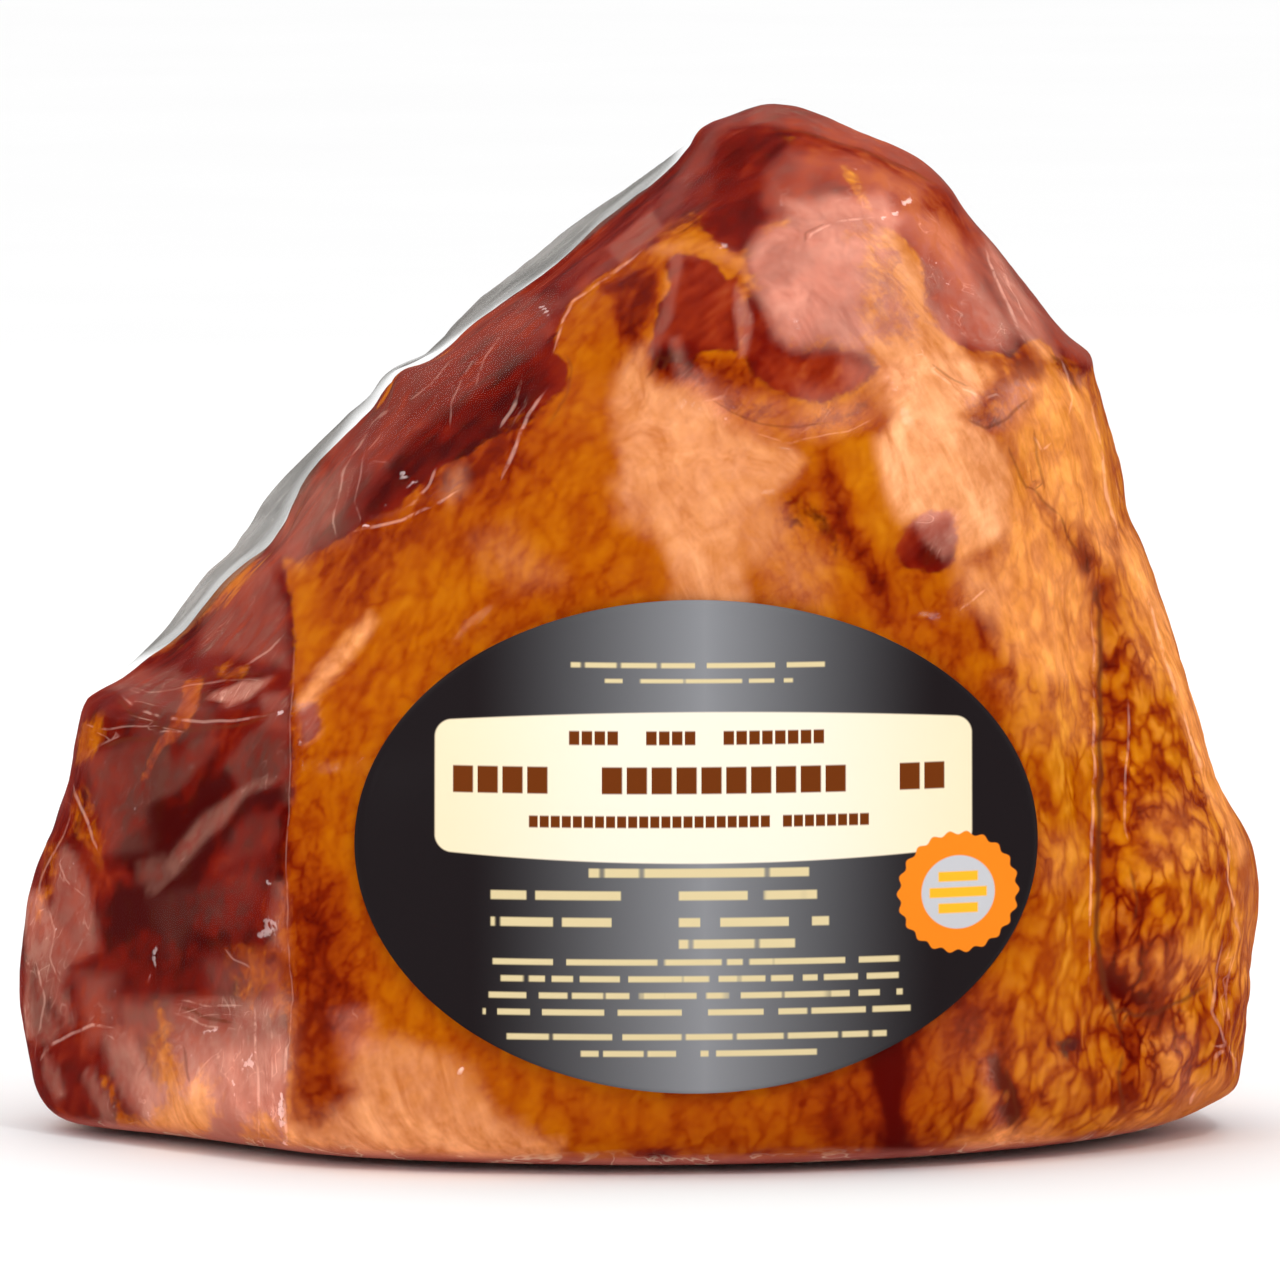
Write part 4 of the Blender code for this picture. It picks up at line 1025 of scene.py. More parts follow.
def lump_group():
    """Rounded lumps of fat: the thin veins between them, and how far each place is from a lump's middle."""
    group, g, given, out = new_group(
        "Fat lumps",
        [("Place", "NodeSocketVector", None), ("Lump size", "NodeSocketFloat", 0.002)],
        [("Veins", "NodeSocketFloat"), ("From middle", "NodeSocketFloat")],
    )
    scale = g.sum("DIVIDE", 1.0, given["Lump size"])
    bend = g.node("ShaderNodeTexNoise")
    g.feed(bend.inputs["Vector"], given["Place"])
    g.feed(bend.inputs["Scale"], g.sum("MULTIPLY", scale, 0.7))
    bend.inputs["Detail"].default_value = 2.0
    offset = g.node("ShaderNodeVectorMath", operation="SUBTRACT")
    g.feed(offset.inputs[0], bend.outputs["Color"])
    offset.inputs[1].default_value = (0.5, 0.5, 0.5)
    pushed = g.node("ShaderNodeVectorMath", operation="SCALE")
    g.feed(pushed.inputs[0], offset.outputs[0])
    g.feed(pushed.inputs["Scale"], g.sum("MULTIPLY", given["Lump size"], 2.6))
    moved = g.node("ShaderNodeVectorMath", operation="ADD")
    g.feed(moved.inputs[0], given["Place"])
    g.feed(moved.inputs[1], pushed.outputs[0])
    edges = g.node("ShaderNodeTexVoronoi", feature="DISTANCE_TO_EDGE")
    middles = g.node("ShaderNodeTexVoronoi", feature="F1")
    for cells in (edges, middles):
        g.feed(cells.inputs["Vector"], moved.outputs[0])
        g.feed(cells.inputs["Scale"], scale)
    g.feed(out["Veins"], g.step(edges.outputs["Distance"], 0.0, 0.14, 1.0, 0.0))
    g.feed(out["From middle"], g.step(middles.outputs["Distance"], 0.1, 0.85))
    return group


def relief_group():
    """Fine unevenness of a surface: a height from waves of a named size and some finer ones."""
    group, g, given, out = new_group(
        "Fine relief",
        [("Place", "NodeSocketVector", None), ("Wave size", "NodeSocketFloat", 0.003),
         ("Finer share", "NodeSocketFloat", 0.3)],
        [("Height", "NodeSocketFloat")],
    )
    scale = g.sum("DIVIDE", 1.0, given["Wave size"])
    coarse = g.tone(given["Place"], scale, 2.0)
    fine = g.tone(given["Place"], g.sum("MULTIPLY", scale, 3.7), 2.0)
    g.feed(out["Height"], g.sum("ADD", coarse, g.sum("MULTIPLY", fine, given["Finer share"])))
    return group


LUMPS = lump_group()
RELIEF = relief_group()


def start_material(name):
    """An empty material, its graph, each point's own place and the output."""
    made = bpy.data.materials.new(name)
    made.use_nodes = True
    made.node_tree.nodes.clear()
    g = Graph(made.node_tree)
    place = g.node("ShaderNodeTexCoord").outputs["Object"]
    return made, g, place, g.node("ShaderNodeOutputMaterial")


def use_group(g, group, **values):
    """Places a group in a graph with its values, and gives its outputs."""
    made = g.node("ShaderNodeGroup", node_tree=group)
    for key, value in values.items():
        g.feed(made.inputs[key.replace("_", " ")], value)
    return made.outputs


# Colours of the rind, from its palest honey to its darkest smoke, and of the lean meat
RIND_RAMP = ((0.0, (226, 148, 36)), (0.22, (203, 116, 6)), (0.44, (184, 92, 1)), (0.62, (161, 64, 2)),
             (0.8, (128, 32, 2)), (1.0, (84, 4, 1)))
LEAN_RAMP = ((0.0, (184, 86, 38)), (0.35, (148, 42, 13)), (0.65, (112, 14, 3)), (1.0, (66, 2, 1)))
SEAM_AND_FOLD_SHADE = colour(104, 46, 22)
CUT_PINK = colour(212, 132, 118)
CUT_DEEP = colour(178, 92, 82)
CUT_FAT = colour(240, 214, 188)
# Painted light that the shine, the lit crests, the sheen veils, the highlight lines and glints add to red,
# green and blue
PAINTED_SHINE_GAIN = (0.36, 0.22, 0.125)
PAINTED_SHINE_GAIN_ON_LEAN = (0.42, 0.21, 0.15)
PAINTED_SHINE_GAIN_ON_LUMPS = (0.37, 0.185, 0.066)
PAINTED_CREST_GAIN = (0.32, 0.17, 0.035)
PAINTED_SHEEN_GAIN = (0.18, 0.086, 0.062)
HIGHLIGHT_LINE_GAIN = (0.36, 0.24, 0.19)
PAINTED_GLINT_GAIN = (0.6, 0.52, 0.5)
# Turn of the streaks: up to the right at the foot, and along the left shoulder
FOOT_STREAKS = (0, math.radians(-32), 0)
LEAN_STREAKS = (0, math.radians(-48), 0)
# Turn of the tall lobes on the right, and of the runs in the painted shine
LOBE_LEAN = (0, math.radians(12), 0)
DRIPS = (0, math.radians(68), 0)


# Tones of the meat's colours: waves in a metre, detail, roughness and warp
BROAD = (60.0, 4.0, 0.6, 0.5)
MIDDLE = (210.0, 5.0, 0.62, 0.6)
FINE = (900.0, 3.0, 0.6, 0.3)
CLOTS = (300.0, 5.0, 0.65, 0.9)
GRAIN = (420.0, 4.0, 0.65, 0.4)
PATCHES = (150.0, 3.0, 0.6, 1.0)
RUNS = (520.0, 3.0, 0.6, 0.6)
FLOW = (130.0, 2.0, 0.5, 1.2)
LARGE_LUMP = 0.0035
SMALL_LUMP = 0.0017
SMALL_VEINS = 0.065
# Middle levels on the two colour ramps, and those to which places under the painted shine are drawn
RIND_LEVEL = 0.49
LEAN_LEVEL = 0.66
RIND_LEVEL_UNDER_SHINE = 0.42
LEAN_LEVEL_UNDER_SHINE = 0.5


def meat_marks(g, place):
    """What the mesh stores for the meat, and the tones that its colours share."""
    m = SimpleNamespace(place=place)
    m.lean, m.pale, m.veil, m.depth = g.layers("tones")
    m.lumps, m.glint, m.cut, _ = g.layers("marks")
    m.pale_side, m.pale_line, m.dark_side, m.dark_line = g.layers("lines")
    m.broad = g.tone(place, *BROAD)
    m.middle = g.tone(place, *MIDDLE)
    m.fine = g.tone(place, *FINE)
    m.along_foot = g.stretched(place, FOOT_STREAKS, (2.4, 1.0, 1.0))
    m.clots = g.tone(m.along_foot, *CLOTS)
    m.grain = g.tone(g.stretched(place, LEAN_STREAKS, (4.0, 1.0, 1.0)), *GRAIN)
    m.evened = g.step(m.pale, 0.1, 1.1, 0.0, 0.55)
    return m


def drawn_to(g, level, share, middle):
    """A level drawn towards a middle one."""
    return g.total((1.0, level), (-1.0, g.sum("MULTIPLY", share, g.sum("SUBTRACT", level, middle))))


def rind_level(g, m):
    """How deep the rind's colour is, from honey to smoke, raised by lumps, clouds and veins."""
    tall = g.stretched(m.place, LOBE_LEAN, (1.0, 1.0, 1.7))
    large_veins, m.large_lumps = use_group(g, LUMPS, Place=tall, Lump_size=LARGE_LUMP)
    small_veins = use_group(g, LUMPS, Place=m.along_foot, Lump_size=SMALL_LUMP)[0]
    cloudy = g.total((0.22, g.centred(m.broad)), (0.20, g.centred(m.middle)), (0.13, g.centred(m.fine)),
                     (0.17, g.centred(m.clots)))
    cloudy = g.sum("MULTIPLY", cloudy, g.total((0.55, 1.0), (0.38, m.lumps)))
    # Darker away from each lump's middle: painted shade that rounds the lumps
    lumpy = g.sum("MULTIPLY", g.centred(m.large_lumps), g.step(m.lumps, 0.1, 1.2, 0.03, 0.25))
    level = g.total((RIND_LEVEL, 1.0), (1.0, m.depth), (1.0, cloudy), (1.0, lumpy))
    showing = g.sum("ADD", 0.25, g.step(level, 0.3, 0.75), clamp=True)
    large_veins = g.sum("MULTIPLY", large_veins, g.step(m.lumps, 0.3, 1.2, 0.03, 0.085))
    veins = g.total((1.0, large_veins), (SMALL_VEINS, small_veins))
    veins = g.sum("MULTIPLY", veins, g.step(m.pale, 0.1, 0.9, 1.0, 0.35))
    level = g.total((1.0, level), (1.0, g.sum("MULTIPLY", veins, showing)))
    return drawn_to(g, level, m.evened, RIND_LEVEL_UNDER_SHINE)


def lean_level(g, m):
    """How deep the lean meat's colour is."""
    level = g.total((LEAN_LEVEL, 1.0), (1.0, m.depth), (0.6, g.centred(m.broad)), (0.5, g.centred(m.grain)),
                    (0.25, g.centred(m.middle)))
    return drawn_to(g, level, m.evened, LEAN_LEVEL_UNDER_SHINE)


def with_painted_shine(g, m, shade, level, on_lean):
    """Painted shine of the bag that makes places paler, lit more on the lumps than between them."""
    patchy = g.tone(g.stretched(m.place, DRIPS, (2.6, 1.0, 1.0)), *PATCHES)
    runs = g.tone(g.stretched(m.place, DRIPS, (5.0, 1.0, 1.0)), *RUNS)
    uneven = g.total((1.0, 1.0), (0.6, g.centred(m.middle)), (0.3, g.centred(m.grain)),
                     (1.3, g.centred(patchy)), (0.4, g.centred(runs)))
    uneven = g.sum("MAXIMUM", uneven, 0.45)
    shadowed = g.sum("MULTIPLY", g.sum("MULTIPLY", m.lumps, 0.5), g.step(level, 0.4, 0.85))
    lit = g.sum("MULTIPLY", g.sum("MULTIPLY", m.pale, uneven), g.sum("SUBTRACT", 1.0, shadowed, clamp=True))
    in_lumps = g.step(m.lumps, 0.2, 0.8)
    lit_rind = g.sum("MULTIPLY", lit, g.sum("SUBTRACT", 1.0, on_lean))
    shade = g.add_light(shade, g.sum("MULTIPLY", lit_rind, g.sum("SUBTRACT", 1.0, in_lumps)), PAINTED_SHINE_GAIN)
    shade = g.add_light(shade, g.sum("MULTIPLY", lit_rind, in_lumps), PAINTED_SHINE_GAIN_ON_LUMPS)
    lit_lean = g.sum("MULTIPLY", m.pale, g.total((0.5, 1.0), (0.5, uneven)))
    return g.add_light(shade, g.sum("MULTIPLY", lit_lean, on_lean), PAINTED_SHINE_GAIN_ON_LEAN)


def with_painted_sheen(g, m, shade):
    """Painted sheen in wisps, painted highlights on the crests of the lumps, and painted highlights along
    fine creases where the bag is slack.
    """
    wisps = g.step(g.total((1.0, m.grain), (0.35, g.centred(m.middle))), 0.30, 0.66, 0.62, 1.28)
    shade = g.add_light(shade, g.sum("MULTIPLY", wisps, m.veil), PAINTED_SHEEN_GAIN)
    # Painted highlights on the crests of the lumps
    painted_crests = g.sum("MULTIPLY", g.step(m.large_lumps, 0.55, 0.1, 0.0, 1.0), g.step(m.middle, 0.42, 0.62))
    shade = g.add_light(shade, g.sum("MULTIPLY", painted_crests, g.step(m.lumps, 0.35, 1.2, 0.0, 0.4)), PAINTED_CREST_GAIN)
    # Painted highlights along fine creases of the slack bag
    flow = g.tone(g.stretched(m.place, LEAN_STREAKS, (3.0, 1.0, 1.0)), *FLOW)
    crease_highlights = g.step(g.sum("ABSOLUTE", g.centred(flow)), 0.0, 0.022, 1.0, 0.0)
    crease_highlights = g.sum("MULTIPLY", crease_highlights, g.sum("MULTIPLY", m.veil, g.step(m.middle, 0.40, 0.60)))
    return g.add_light(shade, g.sum("MULTIPLY", crease_highlights, 0.45), HIGHLIGHT_LINE_GAIN)


def with_lines(g, m, shade):
    """Fine dark lines and painted highlight lines, broken up along their length, and painted sparkling
    glints.
    """
    jitter = g.sum("MULTIPLY", g.centred(m.middle), 0.12)
    # Dark lines: seams, and painted shade in the folds
    line = g.thin_line(g.sum("ADD", m.dark_side, jitter), m.dark_line, 0.0, 0.42)
    line = g.sum("MULTIPLY", line, g.sum("MULTIPLY", 0.85, m.dark_line), clamp=True)
    shade = g.mix(line, shade, SEAM_AND_FOLD_SHADE)
    # Painted highlights along the folds
    line = g.thin_line(g.sum("ADD", m.pale_side, jitter), m.pale_line, 0.03, 0.22)
    line = g.sum("MULTIPLY", line, g.sum("MULTIPLY", m.pale_line, g.step(m.middle, 0.36, 0.56)))
    shade = g.add_light(shade, line, HIGHLIGHT_LINE_GAIN)
    # Painted specks of glint where the bag is slack
    glint_specks = g.sum("MULTIPLY", g.step(m.middle, 0.5, 0.62), m.veil)
    glint_specks = g.sum("MULTIPLY", g.step(m.fine, 0.66, 0.72), glint_specks)
    shade = g.add_light(shade, g.sum("MULTIPLY", glint_specks, 0.5), PAINTED_GLINT_GAIN)
    # Painted glints at the listed spots, broken up into sparkles
    sparkle = g.total((1.0, m.glint), (0.9, g.centred(m.fine)), (0.7, g.centred(m.middle)))
    return g.add_light(shade, g.sum("MULTIPLY", m.glint, g.step(sparkle, 0.42, 0.62)), PAINTED_GLINT_GAIN)


def cut_face(g, m):
    """The cut meat under the ham: two pinks, with thin seams of fat between them."""
    seams = g.step(g.sum("ABSOLUTE", g.sum("SUBTRACT", m.broad, 0.52)), 0.0, 0.02, 0.8, 0.0)
    return g.mix(seams, g.mix(g.step(m.broad, 0.35, 0.65), CUT_DEEP, CUT_PINK), CUT_FAT)


def meat_material():
    """Smoked rind and lean meat: honey and orange lumps, rusty clouds, fine veins, and the bag's painted
    shine, sheen and highlights.
    """
    made, g, place, output = start_material("smoked_meat")
    m = meat_marks(g, place)
    level = rind_level(g, m)
    rind, meat = g.ramp(level, RIND_RAMP), g.ramp(lean_level(g, m), LEAN_RAMP)
    ragged = g.total((1.0, m.lean), (0.4, g.centred(m.clots)), (0.35, g.centred(m.middle)),
                     (0.2, g.centred(m.fine)))
    on_lean = g.step(ragged, 0.28, 0.74)
    shade = g.mix(on_lean, rind, meat)
    shade = with_painted_shine(g, m, shade, level, on_lean)
    shade = with_painted_sheen(g, m, shade)
    shade = with_lines(g, m, shade)
    shade = g.mix(m.cut, shade, cut_face(g, m))
    shader = g.node("ShaderNodeBsdfPrincipled")
    g.feed(shader.inputs["Base Color"], shade)
    g.feed(shader.inputs["Roughness"], g.sum("ADD", 0.45, g.sum("MULTIPLY", m.fine, 0.2)))
    shader.inputs["Specular IOR Level"].default_value = 0.004
    g.feed(output.inputs["Surface"], shader.outputs[0])
    return made


FLAP_DARK = colour(66, 62, 50)
FLAP_PALE = colour(154, 150, 143)
# Turn of the flap's streaks: along the pinched edge, down to the left
FLAP_STREAKS = (0, math.radians(-44), 0)
FILM_BEND = 1.11
FILM_SHINE_MOST = 0.006
FLAP_COVER = 0.57
VEIL_COVER = 0.01


def film_material():
    """Clear tight film: sharp small glints, and grey along the pinched edge, where its walls meet."""
    made, g, place, output = start_material("clear_film")
    flap, milk, slack, rise = g.layers("film")
    height = use_group(g, RELIEF, Place=g.stretched(place, LEAN_STREAKS, (2.5, 1.0, 1.0)), Wave_size=0.0035,
                       Finer_share=0.35)[0]
    bump = g.node("ShaderNodeBump")
    bump.inputs["Strength"].default_value = 0.5
    bump.inputs["Distance"].default_value = 0.0005
    g.feed(bump.inputs["Height"], g.sum("MULTIPLY", height, g.sum("ADD", 0.2, slack)))
    gloss = g.node("ShaderNodeBsdfGlossy")
    gloss.inputs["Color"].default_value = (0.9, 0.9, 0.9, 1.0)
    g.feed(gloss.inputs["Roughness"], g.sum("ADD", 0.10, g.sum("MULTIPLY", flap, 0.2)))
    g.feed(gloss.inputs["Normal"], bump.outputs[0])
    fresnel = g.node("ShaderNodeFresnel")
    fresnel.inputs["IOR"].default_value = FILM_BEND
    g.feed(fresnel.inputs["Normal"], bump.outputs[0])
    clear = g.node("ShaderNodeBsdfTransparent")
    film = g.node("ShaderNodeMixShader")
    share = g.total((1.0, fresnel.outputs[0]), (0.002, slack))
    g.feed(film.inputs[0], g.sum("MINIMUM", share, FILM_SHINE_MOST))
    g.feed(film.inputs[1], clear.outputs[0])
    g.feed(film.inputs[2], gloss.outputs[0])
    cloud = g.node("ShaderNodeBsdfDiffuse")
    lengthwise = g.tone(g.stretched(place, FLAP_STREAKS, (14.0, 1.0, 1.0)), 900.0, 3.0, 0.6)
    paleness = g.total((0.75, rise), (0.85, g.centred(lengthwise)), (0.12, 1.0))
    g.feed(cloud.inputs["Color"], g.mix(g.step(paleness, 0.0, 1.0), FLAP_DARK, FLAP_PALE))
    whole = g.node("ShaderNodeMixShader")
    g.feed(whole.inputs[0], g.total((FLAP_COVER, flap), (VEIL_COVER, milk)))
    g.feed(whole.inputs[1], film.outputs[0])
    g.feed(whole.inputs[2], cloud.outputs[0])
    g.feed(output.inputs["Surface"], whole.outputs[0])
    return made


# The label's print, in pixels of the photo's frame from the label's middle, right and down. A band's
# numbers are its left, right, top and bottom.
BAND = (-262.0, 276.0, -126.0, 4.0)
BAND_BOW = 11.0
BAND_CORNER = 16.0
PRINT_EDGE = 1.2
PRINT_MIDDLE = 8.0
SHEEN_REACH = 235.0
SEAL_PLACE = (262.0, 50.0)
SEAL_SIZE = 60.0
SEAL_HOLE = 37.0
SEAL_SCALLOPS = 22
LETTER_LEAST = 11
LETTER_PITCH = 0.92
PRINT_BROWN = colour(112, 52, 14)
PRINT_STRAW = colour(224, 205, 158)
# Rows of plain blocks: left, right, top, height, length of a word and colour
PRINT_ROWS = (
    (-126, 128, -186, 5, 40, PRINT_STRAW), (-92, 96, -170, 4, 34, PRINT_STRAW),
    (-128, 140, -118, 14, 78, PRINT_BROWN), (-244, 258, -82, 27, 150, PRINT_BROWN),
    (-168, 180, -33, 12, 72, PRINT_BROWN), (-108, 112, 20, 9, 66, PRINT_STRAW),
    (-206, -76, 43, 9, 60, PRINT_STRAW), (-206, -68, 70, 9, 60, PRINT_STRAW),
    (-18, 120, 43, 9, 60, PRINT_STRAW), (-18, 132, 70, 9, 60, PRINT_STRAW),
    (-18, 98, 92, 9, 60, PRINT_STRAW), (-204, 204, 112, 6, 34, PRINT_STRAW),
    (-196, 202, 129, 6, 34, PRINT_STRAW), (-208, 206, 146, 6, 34, PRINT_STRAW),
    (-214, 214, 163, 6, 34, PRINT_STRAW), (-190, 190, 188, 6, 34, PRINT_STRAW),
    (-116, 120, 205, 6, 34, PRINT_STRAW),
)


def label_material():
    """Coated paper: near-black to silver across, a cream band, plain blocks and a scalloped seal."""
    made, g, place, output = start_material("label_print")
    read = g.node("ShaderNodeAttribute", attribute_name="print_place")
    parts = g.node("ShaderNodeSeparateXYZ")
    g.feed(parts.inputs[0], read.outputs["Vector"])
    x, y = parts.outputs[0], parts.outputs[1]

    def between(value, low, high):
        past_low = g.step(value, low - PRINT_EDGE, low + PRINT_EDGE)
        return g.sum("MULTIPLY", past_low, g.step(value, high - PRINT_EDGE, high + PRINT_EDGE, 1.0, 0.0))

    def bar(left, right, top, bottom):
        return g.sum("MULTIPLY", between(x, left, right), between(y, top, bottom))

    black, silver = colour(31, 25, 27), colour(139, 140, 144)
    from_middle = g.sum("ABSOLUTE", g.sum("SUBTRACT", x, PRINT_MIDDLE))
    sheen = g.sum("SUBTRACT", 1.0, g.sum("DIVIDE", from_middle, SHEEN_REACH), clamp=True)
    shade = g.mix(g.sum("POWER", sheen, 1.6), black, silver)
    # The cream band, its long edges bowed and its corners rounded
    half = (BAND[1] - BAND[0]) / 2
    across = g.sum("SUBTRACT", x, (BAND[0] + BAND[1]) / 2)
    up = g.sum("ABSOLUTE", g.sum("SUBTRACT", y, (BAND[2] + BAND[3]) / 2))
    bow = g.sum("MULTIPLY", g.sum("POWER", g.sum("DIVIDE", g.sum("ABSOLUTE", across), half), 2.0), -BAND_BOW)
    past_side = g.sum("SUBTRACT", g.sum("ABSOLUTE", across), half - BAND_CORNER)
    straight = (BAND[3] - BAND[2]) / 2 + BAND_BOW - BAND_CORNER
    past_edge = g.sum("SUBTRACT", g.sum("SUBTRACT", up, bow), straight)
    outside = [g.sum("POWER", g.sum("MAXIMUM", value, 0.0), 2.0) for value in (past_side, past_edge)]
    from_edge = g.sum("SQRT", g.sum("ADD", outside[0], outside[1]))
    band = g.step(from_edge, BAND_CORNER - PRINT_EDGE, BAND_CORNER + PRINT_EDGE, 1.0, 0.0)
    cream = g.mix(g.step(from_middle, 60.0, 300.0), colour(251, 240, 220), colour(248, 229, 192))
    shade = g.mix(band, shade, cream)
    # Plain blocks in word lengths, each row in its own way
    for row, (left, right, top, height, word, ink) in enumerate(PRINT_ROWS):
        pitch = LETTER_PITCH * height
        lettered = height > LETTER_LEAST
        letters = g.sum("DIVIDE", g.sum("SUBTRACT", x, left), pitch)
        along = g.sum("FLOOR", letters) if lettered else letters
        if lettered:
            right = left + pitch * (int((right - left) / pitch) - 0.15)
        at = g.node("ShaderNodeCombineXYZ")
        g.feed(at.inputs[0], g.sum("MULTIPLY", along, pitch / word))
        at.inputs[1].default_value = 3.7 * row
        gaps = g.node("ShaderNodeTexNoise")
        g.feed(gaps.inputs["Vector"], at.outputs[0])
        gaps.inputs["Scale"].default_value = 2.0
        gaps.inputs["Detail"].default_value = 0.0
        words = g.step(gaps.outputs[0], 0.36, 0.361 if lettered else 0.36 + 1.6 / word)
        if lettered:
            words = g.sum("MULTIPLY", words, g.step(g.sum("FRACT", letters), 0.78, 0.86, 1.0, 0.0))
        shade = g.mix(g.sum("MULTIPLY", words, bar(left, right, top, top + height)), shade, ink)
    # The round seal: a scalloped orange rim, a grey middle and three short bars
    dx, dy = g.sum("SUBTRACT", x, SEAL_PLACE[0]), g.sum("SUBTRACT", y, SEAL_PLACE[1])
    radius = g.sum("SQRT", g.sum("ADD", g.sum("MULTIPLY", dx, dx), g.sum("MULTIPLY", dy, dy)))
    lobes = g.sum("COSINE", g.sum("MULTIPLY", g.sum("ARCTAN2", dy, dx), SEAL_SCALLOPS))
    rim = g.sum("SUBTRACT", radius, g.sum("MULTIPLY", lobes, 1.8))
    shade = g.mix(g.step(rim, SEAL_SIZE - 1, SEAL_SIZE + 1, 1.0, 0.0), shade, colour(247, 136, 31))
    shade = g.mix(g.step(radius, SEAL_HOLE - 1, SEAL_HOLE + 1, 1.0, 0.0), shade, colour(200, 200, 204))
    for middle, reach in ((-16, 20), (0, 29), (16, 20)):
        level = g.sum("MULTIPLY", between(dx, -reach, reach), between(dy, middle - 5, middle + 5))
        shade = g.mix(level, shade, colour(255, 186, 44))
    height = use_group(g, RELIEF, Place=place, Wave_size=0.012, Finer_share=0.02)[0]
    bump = g.node("ShaderNodeBump")
    bump.inputs["Strength"].default_value = 0.15
    bump.inputs["Distance"].default_value = 0.0004
    g.feed(bump.inputs["Height"], height)
    shader = g.node("ShaderNodeBsdfPrincipled")
    g.feed(shader.inputs["Base Color"], shade)
    g.feed(shader.inputs["Roughness"], g.sum("ADD", 0.34, g.sum("MULTIPLY", band, 0.08)))
    g.feed(shader.inputs["Normal"], bump.outputs[0])
    shader.inputs["Specular IOR Level"].default_value = 0.03
    g.feed(output.inputs["Surface"], shader.outputs[0])
    return made


# Pieces

LABEL_RINGS = 60
LABEL_SECTORS = 220
LABEL_SMOOTHINGS = 3
LABEL_RIM_ROUND = 0.00012


def build_label():
    """The label: a thin oval sheet that follows the front of the bag, both faces and its rim."""
    solid = node_tree_of("ham_in_bag")
    rows = []
    for ring in range(LABEL_RINGS + 1):
        share = ring / LABEL_RINGS
        row = []
        for k in range(LABEL_SECTORS):
            turn = 2 * math.pi * k / LABEL_SECTORS
            x = LABEL_MIDDLE[0] + LABEL_HALF[0] * share * math.cos(turn)
            z = LABEL_MIDDLE[1] + LABEL_HALF[1] * share * math.sin(turn)
            hit = solid.ray_cast(Vector((x, -0.2, z)), Vector((0, 1, 0)))[0]
            row.append((x, hit.y, z))
        rows.append(row)
    sheet = np.array(rows)
    for _ in range(LABEL_SMOOTHINGS):
        smooth = blurred(sheet, 2.0, 3.0)
        sheet[1:-1, :, 1] = smooth[1:-1, :, 1]
        sheet[0, :, 1] = sheet[1, :, 1].mean()
    front, back = sheet.copy(), sheet.copy()
    front[..., 1] -= LABEL_FRONT
    back[..., 1] -= LABEL_BACK
    front[-1, :, 1] += LABEL_RIM_ROUND
    rows = np.concatenate([front[1:], back[:0:-1]])
    verts = [tuple(front[0, 0]), tuple(back[0, 0])] + [tuple(p) for row in rows for p in row]
    faces = []
    for k in range(LABEL_SECTORS):
        after = (k + 1) % LABEL_SECTORS
        faces.append((0, 2 + after, 2 + k))
        last = 2 + (len(rows) - 1) * LABEL_SECTORS
        faces.append((1, last + k, last + after))
        for r in range(len(rows) - 1):
            a, b = 2 + r * LABEL_SECTORS, 2 + (r + 1) * LABEL_SECTORS
            faces.append((a + k, a + after, b + after, b + k))
    mesh = bpy.data.meshes.new("oval_label")
    mesh.from_pydata(verts, [], faces)
    mesh.shade_smooth()
    where = np.array([v[:] for v in verts])
    printed = np.zeros((len(verts), 3), np.float32)
    printed[:, 0] = (where[:, 0] - LABEL_MIDDLE[0]) / LABEL_HALF[0] * LABEL_PHOTO_HALF[0]
    printed[:, 1] = -(where[:, 2] - LABEL_MIDDLE[1]) / LABEL_HALF[1] * LABEL_PHOTO_HALF[1]
    attribute = mesh.attributes.new("print_place", "FLOAT_VECTOR", "POINT")
    attribute.data.foreach_set("vector", printed.ravel())
    made = bpy.data.objects.new("oval_label", mesh)
    bpy.context.scene.collection.objects.link(made)
    made.data.materials.append(label_material())
    return made


LABEL_CLEAR = 1.06


def clear_of_label(points):
    """0 under the label and 1 away from it."""
    share = np.hypot((points[..., 0] - LABEL_MIDDLE[0]) / LABEL_HALF[0],
                     (points[..., 2] - LABEL_MIDDLE[1]) / LABEL_HALF[1])
    return np.where(points[..., 1] < 0, fade(share, 1.0, LABEL_CLEAR), 1.0)


# The meat's own relief, in metres: low waves and lumps, each with its height and size, grooves along
# dark lines, and the lean's lower level
LOW_HEIGHT = 0.00035
LOW_SIZE = 0.010
LUMP_HEIGHT = 0.0006
LUMP_SIZE = 0.0045
GROOVE_DEPTH = 0.0005
LEAN_DROP = 0.0002
MEAT_LIFT = 0.0004
# Heights over which the relief fades in above the flat foot
RELIEF_FROM = (0.001, 0.008)
# Where the pinched edge is wide enough to be two walls of film, and where it is palest, in metres
FIN_FROM = (0.0001, 0.0009)
FIN_WIDEST = 0.0055


